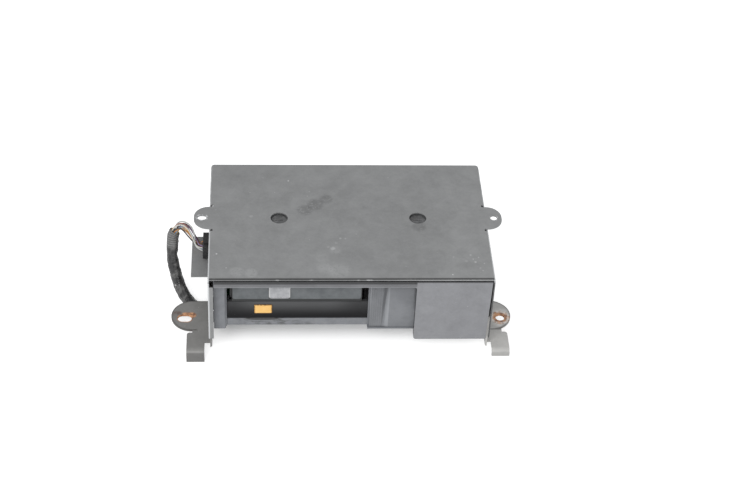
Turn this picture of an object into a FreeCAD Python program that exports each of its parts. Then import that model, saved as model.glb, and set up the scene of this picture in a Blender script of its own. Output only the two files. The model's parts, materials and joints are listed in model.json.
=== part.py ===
import FreeCAD, Part
import math
import os
import re
import Sketcher
from FreeCAD import Placement, Rotation, Vector

# Car CD changer in its sheet steel shield. Millimetres. The modelling frame has x = 0 in the
# middle of the shield, y = 0 at its front panel with y going back, and z = 0 on the floor;
# ORIGIN then carries every solid to the part's own frame, whose origin is the middle of
# the outline at floor level.

DIMENSIONS = {
    # painted steel shield over the changer
    "shield_width": 280,
    "shield_depth": 180,
    "shield_height": 78,
    "leg_height": 26,
    "shield_steel": 1.2,
    "shield_bend": 2.2,
    "rear_corner": 4,
    "return_width": 5,
    "ear_back": 94,
    "ear_length": 34.2,
    "ear_reach": 15.5,
    "ear_hole_out": 7.4,
    "ear_hole_radius": 3.5,
    "ear_slot_length": 9,
    "ear_slot_radius": 3.25,
    "ear_relief": 3.5,
    "access_back": 93.5,
    "access_spread": 140,
    "access_radius": 8.7,
    "window_front": 60,
    "window_length": 61.5,
    "window_low": 55.2,
    "flap_reach": 18.7,
    # front panel of the shield: a narrow lintel and a wide tongue over the parked door
    "lintel_gap": 2.7,
    "lintel_height": 7.6,
    "tongue_left": 63.6,
    "tongue_gap": 1,
    "tongue_taper": 1.5,
    "tongue_return": 6.4,
    "tongue_low": 24.4,
    "front_round": 2.5,
    "weld_flange": 14,
    # lower brackets
    "bracket_steel": 2,
    "bracket_bend": 3,
    "foot_top": 14,
    "left_reach": 179,
    "right_reach": 167.6,
    "foot_back": 46.6,
    "left_foot_radius": 21.6,
    "right_foot_radius": 21.6,
    "foot_slot_length": 14.4,
    "foot_slot_radius": 5,
    "foot_hole_radius": 4.55,
    "foot_hole_in": 11,
    "foot_hole_back": 42.4,
    "left_slot_in": 13.7,
    "tab_reach": 6.5,
    "tab_width": 18,
    "left_tab_out": 162.6,
    "right_tab_out": 161.6,
    "right_tab_low": 6.6,
    "tab_root": 21.4,
    "tab_notch": 5.4,
    "tab_corner": 3,
    "tab_bend": 6,
    "web_front": 2,
    "web_from_rear": 8,
    "web_top": 52,
    "rear_foot_length": 24,
    "rear_foot_reach": 20,
    "rear_foot_hole": 3.25,
    "rivet_radius": 3.2,
    "rivet_head": 1.1,
    "rivet_shank": 2,
    "screw_head_radius": 4,
    "screw_head": 2.2,
    "screw_radius": 2,
    "screw_front": 34,
    "screw_from_rear": 30,
    "screw_up": 42,
    "rivet_up": 34,
    "rivet_from_screw": 14,
    "screw_access": 5,
    # changer housing
    "unit_width": 269.6,
    "unit_low": 32.2,
    "unit_top": 100,
    "unit_front": 14.5,
    "unit_from_rear": 9,
    "base_steel": 1,
    "cover_steel": 0.8,
    "cover_hole_radius": 7,
    "plug_disc": 0.8,
    "plug_radius": 8.2,
    "small_screw_head": 1.4,
    "small_screw_radius": 2.6,
    # front moulding
    "fascia_front": 8,
    "mouth_left": -122,
    "jamb_width": 2.2,
    "jamb_depth": 3,
    "mouth_right": 17.5,
    "mouth_low": 42.2,
    "lip_low": 33.5,
    "mouth_top": 93.5,
    "track_back": 12,
    "track_low": 32.8,
    "track_roof": 3.4,
    "track_right": 132,
    "track_lip": 0.7,
    "track_lip_rise": 0.8,
    "scoop_middle": -87,
    "scoop_width": 36,
    "scoop_height": 6,
    "scoop_depth": 1.9,
    "scoop_up": 40.2,
    # sliding door in two leaves
    "leaf_left": 19.2,
    "leaf_width": 75,
    "leaf_thick": 2.2,
    "grip_width": 15,
    "ramp_width": 5.5,
    "grip_depth": 1.2,
    "grip_ribs": 7,
    "grip_rib_width": 0.9,
    "rear_leaf_left": 21,
    "rear_leaf_thick": 1.2,
    "slide_gap": 0.3,
    # eject panel, button and lever
    "panel_top": 64,
    "panel_thick": 3,
    "panel_round": 2.4,
    "eject_left": -94.9,
    "eject_width": 17.4,
    "eject_low": 49.8,
    "eject_height": 10.7,
    "eject_proud": 1.4,
    "stem_width": 4,
    "stem_gap": 0.5,
    "lever_pivot_x": -60,
    "lever_pivot_y": 37,
    "lever_low": 54.4,
    "lever_thick": 1.6,
    "lever_width": 4.8,
    "lever_tail": 32,
    "lever_nose": 30,
    "lever_pin_radius": 1.5,
    "running_gap": 0.06,
    # magazine
    "magazine_left": -117,
    "magazine_width": 128,
    "magazine_front_y": 12.3,
    "magazine_depth": 138,
    "magazine_low": 67.6,
    "magazine_height": 25.4,
    "magazine_wall": 1.3,
    "magazine_cap": 6,
    "cap_drop": 2.4,
    "cap_skirt": 3,
    "tray_pitch": 3.7,
    "tray_thick": 2.9,
    "tray_width": 121.6,
    "tray_tongue": 2.2,
    "tray_tongue_thick": 1.5,
    "disc_pocket_radius": 60.3,
    "disc_pocket_depth": 1.7,
    "tray_hole_radius": 18,
    "tray_slot": 32,
    "key_left": -80.6,
    "key_width": 20.9,
    "key_low": 68.7,
    "key_height": 14.8,
    "key_proud": 0.8,
    # magazine guide and mechanism frame
    "frame_low": 36,
    "frame_steel": 1.2,
    "frame_width": 250,
    "frame_front": 20,
    "frame_back": 168,
    "damper_radius": 6,
    "damper_spread": 220,
    "damper_front": 32,
    "damper_back": 157,
    "guide_wall": 1.6,
    "guide_gap": 0.4,
    "guide_leg_radius": 3,
    # circuit board
    "board_low": 42,
    "board_thick": 1.6,
    "board_left": -126,
    "board_right": -8,
    "board_front": 46,
    "board_back": 140,
    "standoff_radius": 3,
    # socket and plug in the side
    "socket_back": 95,
    "socket_length": 30,
    "socket_low": 58,
    "socket_height": 16,
    "plug_length": 26,
    "plug_height": 13,
    "plug_out": 147,
    "plug_nose_in": 125,
    # disc lift
    "post_radius": 2,
    "post_top": 97,
    "post_left": 20,
    "post_right": 118,
    "post_front": 27,
    "post_back": 160,
    "deck_left": 15,
    "deck_right": 125,
    "deck_front": 22,
    "deck_back": 164,
    "deck_low": 51.8,
    "deck_steel": 1.2,
    "lift_travel": 26.9,
    "spindle_x": 34,
    "spindle_y": 92,
    "spindle_motor_radius": 11,
    "spindle_motor_height": 8,
    "shaft_radius": 1,
    "turntable_radius": 15,
    "turntable_top": 62,
    "turntable_thick": 2.2,
    "hub_radius": 7.3,
    "hub_height": 1,
    "clamp_width": 14,
    "clamp_low": 65.6,
    "clamp_steel": 1.2,
    "clamp_pivot_y": 160,
    "clamp_pivot_z": 63.5,
    "puck_radius": 11,
    "puck_thick": 1.8,
    "rail_z": 56.8,
    "rail_radius": 1.5,
    "rail_front": 78,
    "rail_back": 106,
    "rail_left": 44.5,
    "rail_right": 107,
    "lug_thick": 3,
    "lug_top": 58.4,
    "sled_left": 50,
    "sled_width": 16,
    "sled_low": 54.2,
    "sled_top": 59.2,
    "lens_radius": 3,
    "lens_rise": 1,
    "lead_screw_gap": 8,
    "lead_radius": 1.4,
    "sled_motor_radius": 3.7,
    "sled_motor_length": 15,
    "puller_left": 18,
    "puller_width": 8,
    "puller_rail_y": 151,
    "puller_rail_width": 2,
    "puller_rail_top": 56,
    "puller_top": 65,
    # lift drive at the right hand side
    "cam_x": 129.6,
    "cam_steel": 1.4,
    "cam_front": 46,
    "cam_back": 146,
    "cam_low": 53.5,
    "cam_top": 90,
    "pin_front": 52,
    "pin_back": 112,
    "pin_z": 57.5,
    "pin_radius": 1.5,
    "pin_gap": 0.12,
    "gear_module": 0.8,
    "gear_teeth": 12,
    "pinion_teeth": 10,
    "gear_y": 85,
    "gear_width": 2.4,
    "mesh_angle": 35,
    "backlash": 0.24,
    "lift_motor_radius": 5.4,
    "lift_motor_length": 22,
    "gear_plate_x": 126.2,
    "gear_plate_steel": 1.2,
    # harness
    "bundle_radius": 4.5,
    "loom_radius": 5.5,
    "end_plug_length": 28,
    "end_plug_width": 22,
    "end_plug_height": 14,
}

document = FreeCAD.newDocument("cd_changer")
sheet = document.addObject("Spreadsheet::Sheet", "dims")
for row, (alias, number) in enumerate(DIMENSIONS.items(), 1):
    sheet.set(f"A{row}", alias.replace("_", " "))
    sheet.set(f"B{row}", str(number))
    sheet.setAlias(f"B{row}", alias)
document.recompute()

ORIGIN = {
    "x": "(left_reach - right_reach) / 2",
    "y": "-(shield_depth - tab_reach) / 2",
    "z": "0",
}
PLANES = {"XY": ("x", "y"), "XZ": ("x", "z"), "YZ": ("y", "z")}
TURNS = {
    "x": Rotation(Vector(0, 1, 0), 90),
    "y": Rotation(Vector(1, 0, 0), -90),
    "z": Rotation(),
}
nodes = []


def bound(words):
    """The expression with the sheet's name put before each driving dimension."""
    led = lambda found: f"dims.{found[0]}" if found[0] in DIMENSIONS else found[0]
    return re.sub(r"[a-z][a-z_0-9]*", led, str(words))


def number(words):
    """What an expression comes to now."""
    return float(sheet.evalExpression(bound(words)))


def placed(solid, place):
    """Binds a solid's position, given in the modelling frame."""
    for axis, words in zip("xyz", place):
        solid.setExpression(f"Placement.Base.{axis}", bound(f"{words} + {ORIGIN[axis]}"))
    return solid


def block(name, low, high):
    """A rectangular solid between two opposite corners."""
    solid = document.addObject("Part::Box", name)
    for side, a, b in zip(("Length", "Width", "Height"), low, high):
        solid.setExpression(side, bound(f"({b}) - ({a})"))
    return placed(solid, low)


def rod(name, start, along, length, radius):
    """A round bar from a point along one axis."""
    solid = document.addObject("Part::Cylinder", name)
    solid.Placement = Placement(Vector(), TURNS[along])
    solid.setExpression("Height", bound(length))
    solid.setExpression("Radius", bound(radius))
    return placed(solid, start)


def joined(name, *pieces):
    """Several solids made one, with the seams between level faces taken out."""
    whole = document.addObject("Part::MultiFuse", name)
    whole.Shapes = list(pieces)
    whole.Refine = True
    return whole


def cut(name, base, *tools):
    """A solid with others taken away."""
    rest = document.addObject("Part::Cut", name)
    rest.Base = base
    rest.Tool = tools[0] if len(tools) == 1 else joined(f"{name}_tools", *tools)
    rest.Refine = True
    return rest


def common(name, first, second):
    """What two solids share."""
    both = document.addObject("Part::MultiCommon", name)
    both.Shapes = [first, second]
    both.Refine = True
    return both


def group(name, *pieces):
    """Separate solids kept as one sub-part, as like fasteners are."""
    together = document.addObject("Part::Compound", name)
    together.Links = list(pieces)
    return together


def outline(name, plane, points, start, depth, rounds=()):
    """A padded sketch: straight sides between bound corners, and rounds as (radius, corners)."""
    body = document.addObject("PartDesign::Body", name)
    sketch = body.newObject("Sketcher::SketchObject", f"{name}_sketch")
    role = f"{plane}_Plane"
    sketch.AttachmentSupport = [(f, "") for f in body.Origin.OriginFeatures if f.Role == role]
    sketch.MapMode = "FlatFace"
    corners = [Vector(number(a), number(b), 0) for a, b in points]
    for i, corner in enumerate(corners):
        sketch.addGeometry(Part.LineSegment(corner, corners[(i + 1) % len(corners)]), False)
    for i, (a, b) in enumerate(points):
        sketch.addConstraint(Sketcher.Constraint("Coincident", i - 1 if i else len(points) - 1, 2, i, 1))
        for kind, words, place in (("DistanceX", a, corners[i].x), ("DistanceY", b, corners[i].y)):
            index = sketch.addConstraint(Sketcher.Constraint(kind, -1, 1, i, 1, place))
            sketch.setExpression(f"Constraints[{index}]", bound(words))
    document.recompute()
    pad = body.newObject("PartDesign::Pad", f"{name}_pad")
    pad.Profile = sketch
    pad.Reversed = plane == "XZ"
    pad.setExpression("Length", bound(depth))
    document.recompute()
    last = pad
    for turn, (radius, places) in enumerate(rounds):
        spots = [(number(a), number(b)) for a, b in places]
        last = rounded(body, last, f"{name}_round_{turn}", plane, radius, spots)
    third = ({"x", "y", "z"} - set(PLANES[plane])).pop()
    return placed(body, [start if axis == third else "0" for axis in "xyz"])


def rounded(body, last, name, plane, radius, spots):
    """Rounds the padded edges that stand on the given corners of the sketch."""
    edges = []
    for i, edge in enumerate(last.Shape.Edges, 1):
        ends = [[getattr(v.Point, axis) for axis in PLANES[plane]] for v in edge.Vertexes]
        if len(ends) == 2 and math.dist(*ends) < 1e-6:
            if any(math.dist(ends[0], spot) < 1e-4 for spot in spots):
                edges.append(f"Edge{i}")
    fillet = body.newObject("PartDesign::Fillet", name)
    fillet.Base = (last, edges)
    fillet.setExpression("Radius", bound(radius))
    document.recompute()
    return fillet


def node(label, solid):
    """Names a finished sub-part."""
    solid.Label = label
    nodes.append(solid)
    return solid


# ---- shield: one sheet bent down at both sides, with an ear each side at the top -----------
TOP = "(leg_height + shield_height)"
HALF = "(shield_width / 2)"
INNER = "(shield_width / 2 - shield_steel)"
UNDER = "(leg_height + shield_height - shield_steel)"

section = outline(
    "shield_section",
    "XZ",
    [
        (f"-{HALF}", "leg_height"),
        (f"-{HALF}", TOP),
        (HALF, TOP),
        (HALF, "leg_height"),
        (INNER, "leg_height"),
        (INNER, UNDER),
        (f"-{INNER}", UNDER),
        (f"-{INNER}", "leg_height"),
    ],
    "0",
    "shield_depth",
    [
        ("shield_bend", [(f"-{HALF}", TOP), (HALF, TOP)]),
        ("shield_bend - shield_steel", [(f"-{INNER}", UNDER), (INNER, UNDER)]),
    ],
)
plan = outline(
    "shield_plan",
    "XY",
    [
        (f"-{HALF}", "0"),
        (HALF, "0"),
        (HALF, "shield_depth"),
        (f"-{HALF}", "shield_depth"),
    ],
    "0",
    TOP,
    [("rear_corner", [(HALF, "shield_depth"), (f"-{HALF}", "shield_depth")])],
)
shell = common("shield_shell", section, plan)
ears = []
for side, sign in (("left", "-"), ("right", "")):
    root = f"{sign}({HALF} - shield_bend - 1)"
    tip = f"{sign}({HALF} + ear_reach)"
    low, high = (tip, root) if sign else (root, tip)
    ears.append(
        outline(
            f"{side}_ear",
            "XY",
            [
                (low, "ear_back - ear_length / 2"),
                (high, "ear_back - ear_length / 2"),
                (high, "ear_back + ear_length / 2"),
                (low, "ear_back + ear_length / 2"),
            ],
            UNDER,
            "shield_steel",
            [
                (
                    "ear_reach - 0.4",
                    [
                        (tip, "ear_back - ear_length / 2"),
                        (tip, "ear_back + ear_length / 2"),
                    ],
                )
            ],
        )
    )
strip = block(
    "left_return",
    (f"-{HALF} + shield_steel / 2", "0", "leg_height"),
    (f"-{HALF} + return_width", "shield_steel", f"{TOP} - lintel_gap - lintel_height"),
)
flap = block(
    "window_flap",
    (f"-{HALF} - flap_reach", "window_front", "window_low - shield_steel"),
    (f"-{INNER}", "window_front + window_length", "window_low"),
)
shield_cuts = [
    block(
        "side_window",
        (f"-{HALF} - 1", "window_front", "window_low"),
        (f"-{INNER} + 1", "window_front + window_length", "window_low + flap_reach"),
    ),
    rod(
        "right_ear_hole",
        (f"{HALF} + ear_hole_out", "ear_back", f"{UNDER} - 1"),
        "z",
        "shield_steel + 2",
        "ear_hole_radius",
    ),
]
SLOT_HALF = "(ear_slot_length / 2 - ear_slot_radius)"
SCREWS = (("front", "screw_front"), ("back", "(shield_depth - screw_from_rear)"))
for end in ("-", "+"):
    shield_cuts.append(
        rod(
            f"ear_slot_end_{len(shield_cuts)}",
            (f"-{HALF} - ear_hole_out {end} {SLOT_HALF}", "ear_back", f"{UNDER} - 1"),
            "z",
            "shield_steel + 2",
            "ear_slot_radius",
        )
    )
shield_cuts.append(
    block(
        "ear_slot_middle",
        (
            f"-{HALF} - ear_hole_out - {SLOT_HALF}",
            "ear_back - ear_slot_radius",
            f"{UNDER} - 1",
        ),
        (
            f"-{HALF} - ear_hole_out + {SLOT_HALF}",
            "ear_back + ear_slot_radius",
            f"{TOP} + 1",
        ),
    )
)
for side, sign in (("left", -1), ("right", 1)):
    shield_cuts.append(
        rod(
            f"{side}_access_hole",
            (f"{sign} * access_spread / 2", "access_back", f"{UNDER} - 1"),
            "z",
            "shield_steel + 2",
            "access_radius",
        )
    )
    for place, y in (
        ("front", "ear_back - ear_length / 2 - ear_relief"),
        ("back", "ear_back + ear_length / 2"),
    ):
        x = f"-{HALF} - 1" if sign < 0 else f"{HALF} - ear_relief"
        far = f"-{HALF} + ear_relief" if sign < 0 else f"{HALF} + 1"
        shield_cuts.append(
            block(
                f"{side}_{place}_relief",
                (x, y, f"{TOP} - 6"),
                (far, f"{y} + ear_relief", f"{TOP} + 1"),
            )
        )
    for place, y in SCREWS:
        shield_cuts += [
            rod(
                f"{side}_{place}_access",
                (f"{sign} * {HALF} - 5", y, "screw_up"),
                "x",
                "10",
                "screw_access",
            ),
            rod(
                f"{side}_{place}_shield_rivet",
                (f"{sign} * {HALF} - 5", f"{y} + rivet_from_screw", "rivet_up"),
                "x",
                "10",
                "rivet_shank",
            ),
        ]
node("top_shield", cut("top_shield_cut", joined("shield_joined", shell, *ears, strip, flap), *shield_cuts))

# ---- front panel, spot welded under the top by its turned-back flange ----------------------
LINTEL_TOP = f"({TOP} - lintel_gap)"
LINTEL_LOW = f"({TOP} - lintel_gap - lintel_height)"
PANEL_LEFT = f"(-{HALF} + return_width + 1)"
PANEL_RIGHT = f"({INNER} - tongue_gap)"
panel = outline(
    "front_panel",
    "XZ",
    [
        (PANEL_LEFT, LINTEL_LOW),
        (PANEL_LEFT, LINTEL_TOP),
        (PANEL_RIGHT, LINTEL_TOP),
        (f"{PANEL_RIGHT} - tongue_taper", "tongue_low"),
        ("tongue_left", "tongue_low"),
        ("tongue_left", LINTEL_LOW),
    ],
    "0",
    "shield_steel",
    [
        ("front_round", [("tongue_left", "tongue_low"), ("tongue_left", LINTEL_LOW)]),
        ("front_round / 2", [(f"{PANEL_RIGHT} - tongue_taper", "tongue_low")]),
    ],
)
hem = block(
    "tongue_hem",
    ("tongue_left", "shield_steel / 2", "tongue_low + front_round"),
    ("tongue_left + shield_steel", "tongue_return", f"{LINTEL_LOW} - front_round"),
)
shelf = block(
    "front_shelf",
    (PANEL_LEFT, "shield_steel / 2", f"{LINTEL_TOP} - shield_steel"),
    (PANEL_RIGHT, "3 + shield_steel", LINTEL_TOP),
)
step = block(
    "front_step",
    (PANEL_LEFT, "3", f"{LINTEL_TOP} - shield_steel"),
    (PANEL_RIGHT, "3 + shield_steel", UNDER),
)
weld = block(
    "front_weld_flange",
    (PANEL_LEFT, "3", f"{UNDER} - shield_steel"),
    (PANEL_RIGHT, "weld_flange", UNDER),
)
node("front_shield", joined("front_shield_joined", panel, hem, shelf, step, weld))

# ---- lower brackets: a long web inside each flange, with an ear, a tab and a rear foot -----
WEB_BACK = "(shield_depth - web_from_rear)"
FOOT_LOW = "(foot_top - bracket_steel)"
WEB_IN = f"({INNER} - bracket_steel)"


def bracket(side, sign, reach, radius, tab_out, tab_low, holes):
    """One lower bracket. sign is -1 on the left, and the sheet is bent outwards at the foot."""
    at = lambda words: f"{sign} * ({words})"
    span = lambda a, b: (at(b), at(a)) if sign < 0 else (at(a), at(b))
    profile = outline(
        f"{side}_bracket_profile",
        "XZ",
        [
            (at(WEB_IN), "web_top"),
            (at(WEB_IN), FOOT_LOW),
            (at(reach), FOOT_LOW),
            (at(reach), "foot_top"),
            (at(INNER), "foot_top"),
            (at(INNER), "web_top"),
        ],
        "0",
        WEB_BACK,
        [
            ("bracket_bend", [(at(WEB_IN), FOOT_LOW)]),
            ("bracket_bend - bracket_steel", [(at(INNER), "foot_top")]),
        ],
    )
    x_low, x_high = span(WEB_IN, INNER)
    web = block(f"{side}_web_plan", (x_low, "web_front", "-1"), (x_high, WEB_BACK, "web_top + 1"))
    x_low, x_high = span(f"{INNER} - {radius}", f"{reach} - {radius}")
    ear_root = block(
        f"{side}_foot_root",
        (x_low, f"foot_back - {radius}", "0"),
        (x_high, f"foot_back + {radius}", "foot_top + 5"),
    )
    ear = rod(
        f"{side}_foot_ear",
        (at(f"{reach} - {radius}"), "foot_back", "0"),
        "z",
        "foot_top + 5",
        radius,
    )
    x_low, x_high = span(INNER, f"{tab_out} - tab_notch")
    shoulder = block(f"{side}_shoulder", (x_low, "8", "0"), (x_high, "tab_root + 8", "foot_top + 5"))
    x_low, x_high = span(f"{tab_out} - tab_width", tab_out)
    tab = outline(
        f"{side}_tab",
        "XY",
        [(x_low, "0"), (x_high, "0"), (x_high, "tab_root"), (x_low, "tab_root")],
        "0",
        "foot_top + 5",
        [("tab_corner", [(x_low if sign < 0 else x_high, "tab_root")])],
    )
    flat = common(
        f"{side}_bracket_flat",
        profile,
        joined(f"{side}_bracket_plan", web, ear_root, ear, shoulder, tab),
    )
    tip = outline(
        f"{side}_tab_tip",
        "YZ",
        [
            ("0.5", "foot_top"),
            ("-tab_reach", "foot_top"),
            ("-tab_reach", tab_low),
            ("-tab_reach + bracket_steel", tab_low),
            ("-tab_reach + bracket_steel", FOOT_LOW),
            ("0.5", FOOT_LOW),
        ],
        x_low,
        "tab_width",
        [
            ("tab_bend", [("-tab_reach", "foot_top")]),
            ("tab_bend - bracket_steel", [("-tab_reach + bracket_steel", FOOT_LOW)]),
        ],
    )
    x_low, x_high = span(WEB_IN, INNER)
    leg = block(
        f"{side}_rear_leg",
        (x_low, f"{WEB_BACK} - rear_foot_length", "0"),
        (x_high, WEB_BACK, "leg_height + 1"),
    )
    x_low, x_high = span(f"{INNER} - rear_foot_reach", INNER)
    sole = block(
        f"{side}_rear_sole",
        (x_low, f"{WEB_BACK} - rear_foot_length", "0"),
        (x_high, WEB_BACK, "bracket_steel"),
    )
    x_low, x_high = span(f"{WEB_IN} - 1", f"{INNER} + 1")
    rear_gap = block(
        f"{side}_web_clearance",
        (x_low, "foot_back + left_foot_radius + 1", "-2"),
        (x_high, f"{WEB_BACK} - rear_foot_length", "leg_height"),
    )
    foot_hole = rod(
        f"{side}_rear_hole",
        (at(f"{INNER} - rear_foot_reach + 8"), f"{WEB_BACK} - rear_foot_length / 2", "-1"),
        "z",
        "bracket_steel + 2",
        "rear_foot_hole",
    )
    screw_holes = [
        rod(f"{side}_{place}_hole", (f"{at(WEB_IN)} - 5", y, "screw_up"), "x", "10", "screw_radius + 0.2")
        for place, y in SCREWS
    ]
    rivet_holes = [
        rod(
            f"{side}_{place}_rivet_hole",
            (f"{at(WEB_IN)} - 5", f"{y} + rivet_from_screw", "rivet_up"),
            "x",
            "10",
            "rivet_shank",
        )
        for place, y in SCREWS
    ]
    whole = joined(f"{side}_bracket_joined", flat, tip, leg, sole)
    tools = [rear_gap, foot_hole, *screw_holes, *rivet_holes, *holes]
    return node(f"{side}_bracket", cut(f"{side}_bracket_cut", whole, *tools))


LEFT_SLOT_HALF = "(foot_slot_length / 2 - foot_slot_radius)"
left_slot = [
    rod(
        f"foot_slot_{name}",
        (f"-left_reach + left_slot_in {end} {LEFT_SLOT_HALF}", "foot_hole_back", "0"),
        "z",
        "foot_top + 5",
        "foot_slot_radius",
    )
    for name, end in (("out", "-"), ("in", "+"))
]
left_slot.append(
    block(
        "foot_slot_middle",
        (f"-left_reach + left_slot_in - {LEFT_SLOT_HALF}", "foot_hole_back - foot_slot_radius", "0"),
        (
            f"-left_reach + left_slot_in + {LEFT_SLOT_HALF}",
            "foot_hole_back + foot_slot_radius",
            "foot_top + 5",
        ),
    )
)
right_hole = rod(
    "foot_hole",
    ("right_reach - foot_hole_in", "foot_hole_back", "0"),
    "z",
    "foot_top + 5",
    "foot_hole_radius",
)
bracket("left", -1, "left_reach", "left_foot_radius", "left_tab_out", "0", left_slot)
bracket("right", 1, "right_reach", "right_foot_radius", "right_tab_out", "right_tab_low", [right_hole])

# ---- rivets hold the brackets to the shield, screws and grommets hold the changer ----------
UNIT_HALF = "(unit_width / 2)"
UNIT_BACK = "(shield_depth - unit_from_rear)"
rivets = []
screws = []
grommets = []
for side, sign in (("left", -1), ("right", 1)):
    for place, y in SCREWS:
        out = f"{sign} * {HALF}"
        shank = f"{sign} * {HALF}" if sign < 0 else WEB_IN
        head = f"-{HALF} - rivet_head" if sign < 0 else HALF
        rivets.append(
            joined(
                f"{side}_{place}_rivet",
                rod(
                    f"{side}_{place}_rivet_head",
                    (head, f"{y} + rivet_from_screw", "rivet_up"),
                    "x",
                    "rivet_head",
                    "rivet_radius",
                ),
                rod(
                    f"{side}_{place}_rivet_shank",
                    (shank, f"{y} + rivet_from_screw", "rivet_up"),
                    "x",
                    "shield_steel + bracket_steel",
                    "rivet_shank",
                ),
            )
        )
        head = f"-{INNER} - screw_head" if sign < 0 else INNER
        shank = f"-{INNER}" if sign < 0 else f"{UNIT_HALF} - base_steel - 4"
        screws.append(
            joined(
                f"{side}_{place}_screw",
                rod(f"{side}_{place}_head", (head, y, "screw_up"), "x", "screw_head", "screw_head_radius"),
                rod(
                    f"{side}_{place}_shank",
                    (shank, y, "screw_up"),
                    "x",
                    f"{INNER} - {UNIT_HALF} + base_steel + 4",
                    "screw_radius",
                ),
            )
        )
        start = f"-{WEB_IN}" if sign < 0 else UNIT_HALF
        grommets.append(
            cut(
                f"{side}_{place}_grommet",
                rod(
                    f"{side}_{place}_washer",
                    (start, y, "screw_up"),
                    "x",
                    f"{WEB_IN} - {UNIT_HALF}",
                    "screw_head_radius * 1.6",
                ),
                rod(
                    f"{side}_{place}_washer_hole",
                    (f"{start} - 2", y, "screw_up"),
                    "x",
                    "8",
                    "screw_radius + 0.2",
                ),
            )
        )
node("bracket_rivets", group("rivet_group", *rivets))
node("unit_screws", group("screw_group", *screws))
node("mounting_grommets", group("grommet_group", *grommets))

# ---- changer housing ----------------------------------------------------------------------
BASE_TOP = "(unit_low + base_steel)"
COVER_LOW = "(unit_top - cover_steel)"
tub = block("base_block", (f"-{UNIT_HALF}", "unit_front", "unit_low"), (UNIT_HALF, UNIT_BACK, COVER_LOW))
hollow = block(
    "base_hollow",
    (f"-{UNIT_HALF} + base_steel", "unit_front - 1", BASE_TOP),
    (f"{UNIT_HALF} - base_steel", f"{UNIT_BACK} - base_steel", "unit_top + 1"),
)
SOCKET_FRONT = "(socket_back - socket_length / 2)"
SOCKET_REAR = "(socket_back + socket_length / 2)"
socket_hole = block(
    "base_socket_hole",
    (f"-{UNIT_HALF} - 1", f"{SOCKET_FRONT} - 0.3", "socket_low - 0.3"),
    (f"-{UNIT_HALF} + 3", f"{SOCKET_REAR} + 0.3", "socket_low + socket_height + 0.3"),
)
base_screw_holes = [
    rod(f"base_{i}_{place}", (f"{sign} * {UNIT_HALF} - 3", y, "screw_up"), "x", "6", "screw_radius")
    for i, sign in enumerate((-1, 1))
    for place, y in SCREWS
]
node("chassis_base", cut("chassis_base_cut", tub, hollow, socket_hole, *base_screw_holes))
lid = block("cover_plate", (f"-{UNIT_HALF}", "unit_front", COVER_LOW), (UNIT_HALF, UNIT_BACK, "unit_top"))
lips = [
    block(
        "cover_left_lip",
        (f"-{UNIT_HALF} + base_steel", "unit_front + 8", f"{COVER_LOW} - 5"),
        (f"-{UNIT_HALF} + base_steel + cover_steel", f"{UNIT_BACK} - 4", "unit_top"),
    ),
    block(
        "cover_right_lip",
        (f"{UNIT_HALF} - base_steel - cover_steel", "unit_front + 8", f"{COVER_LOW} - 5"),
        (f"{UNIT_HALF} - base_steel", f"{UNIT_BACK} - 4", "unit_top"),
    ),
]
cover_holes = [
    rod(
        f"cover_hole_{i}",
        (f"{sign} * access_spread / 2", "access_back", f"{COVER_LOW} - 1"),
        "z",
        "4",
        "cover_hole_radius",
    )
    for i, sign in enumerate((-1, 1))
]
COVER_SCREWS = [(x, y) for x in (-1, 1) for y in ("unit_front + 12", f"{UNIT_BACK} - 12")]
cover_screw_holes = [
    rod(
        f"cover_screw_hole_{i}",
        (f"{sign} * ({UNIT_HALF} - 12)", y, f"{COVER_LOW} - 1"),
        "z",
        "4",
        "screw_radius * 0.7",
    )
    for i, (sign, y) in enumerate(COVER_SCREWS)
]
node(
    "chassis_cover",
    cut("chassis_cover_cut", joined("cover_joined", lid, *lips), *cover_holes, *cover_screw_holes),
)
# the transport screws are out, and a plastic plug closes each of their holes
plugs = [
    cut(
        f"plug_{i}",
        joined(
            f"plug_joined_{i}",
            rod(
                f"plug_disc_{i}",
                (f"{sign} * access_spread / 2", "access_back", "unit_top"),
                "z",
                "plug_disc",
                "plug_radius",
            ),
            rod(
                f"plug_stem_{i}",
                (f"{sign} * access_spread / 2", "access_back", "unit_top - 3"),
                "z",
                "3",
                "cover_hole_radius - 0.05",
            ),
        ),
        block(
            f"plug_slot_{i}",
            (f"{sign} * access_spread / 2 - 4", "access_back - 0.6", "unit_top + 0.2"),
            (f"{sign} * access_spread / 2 + 4", "access_back + 0.6", "unit_top + 3"),
        ),
    )
    for i, sign in enumerate((-1, 1))
]
node("transport_plugs", group("plug_group", *plugs))
cover_screws = [
    joined(
        f"cover_screw_{i}",
        rod(
            f"cover_screw_head_{i}",
            (f"{sign} * ({UNIT_HALF} - 12)", y, "unit_top"),
            "z",
            "small_screw_head",
            "small_screw_radius",
        ),
        rod(
            f"cover_screw_shank_{i}",
            (f"{sign} * ({UNIT_HALF} - 12)", y, "unit_top - 5"),
            "z",
            "5",
            "screw_radius * 0.7",
        ),
    )
    for i, (sign, y) in enumerate(COVER_SCREWS)
]
node("cover_screws", group("cover_screw_group", *cover_screws))

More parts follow.
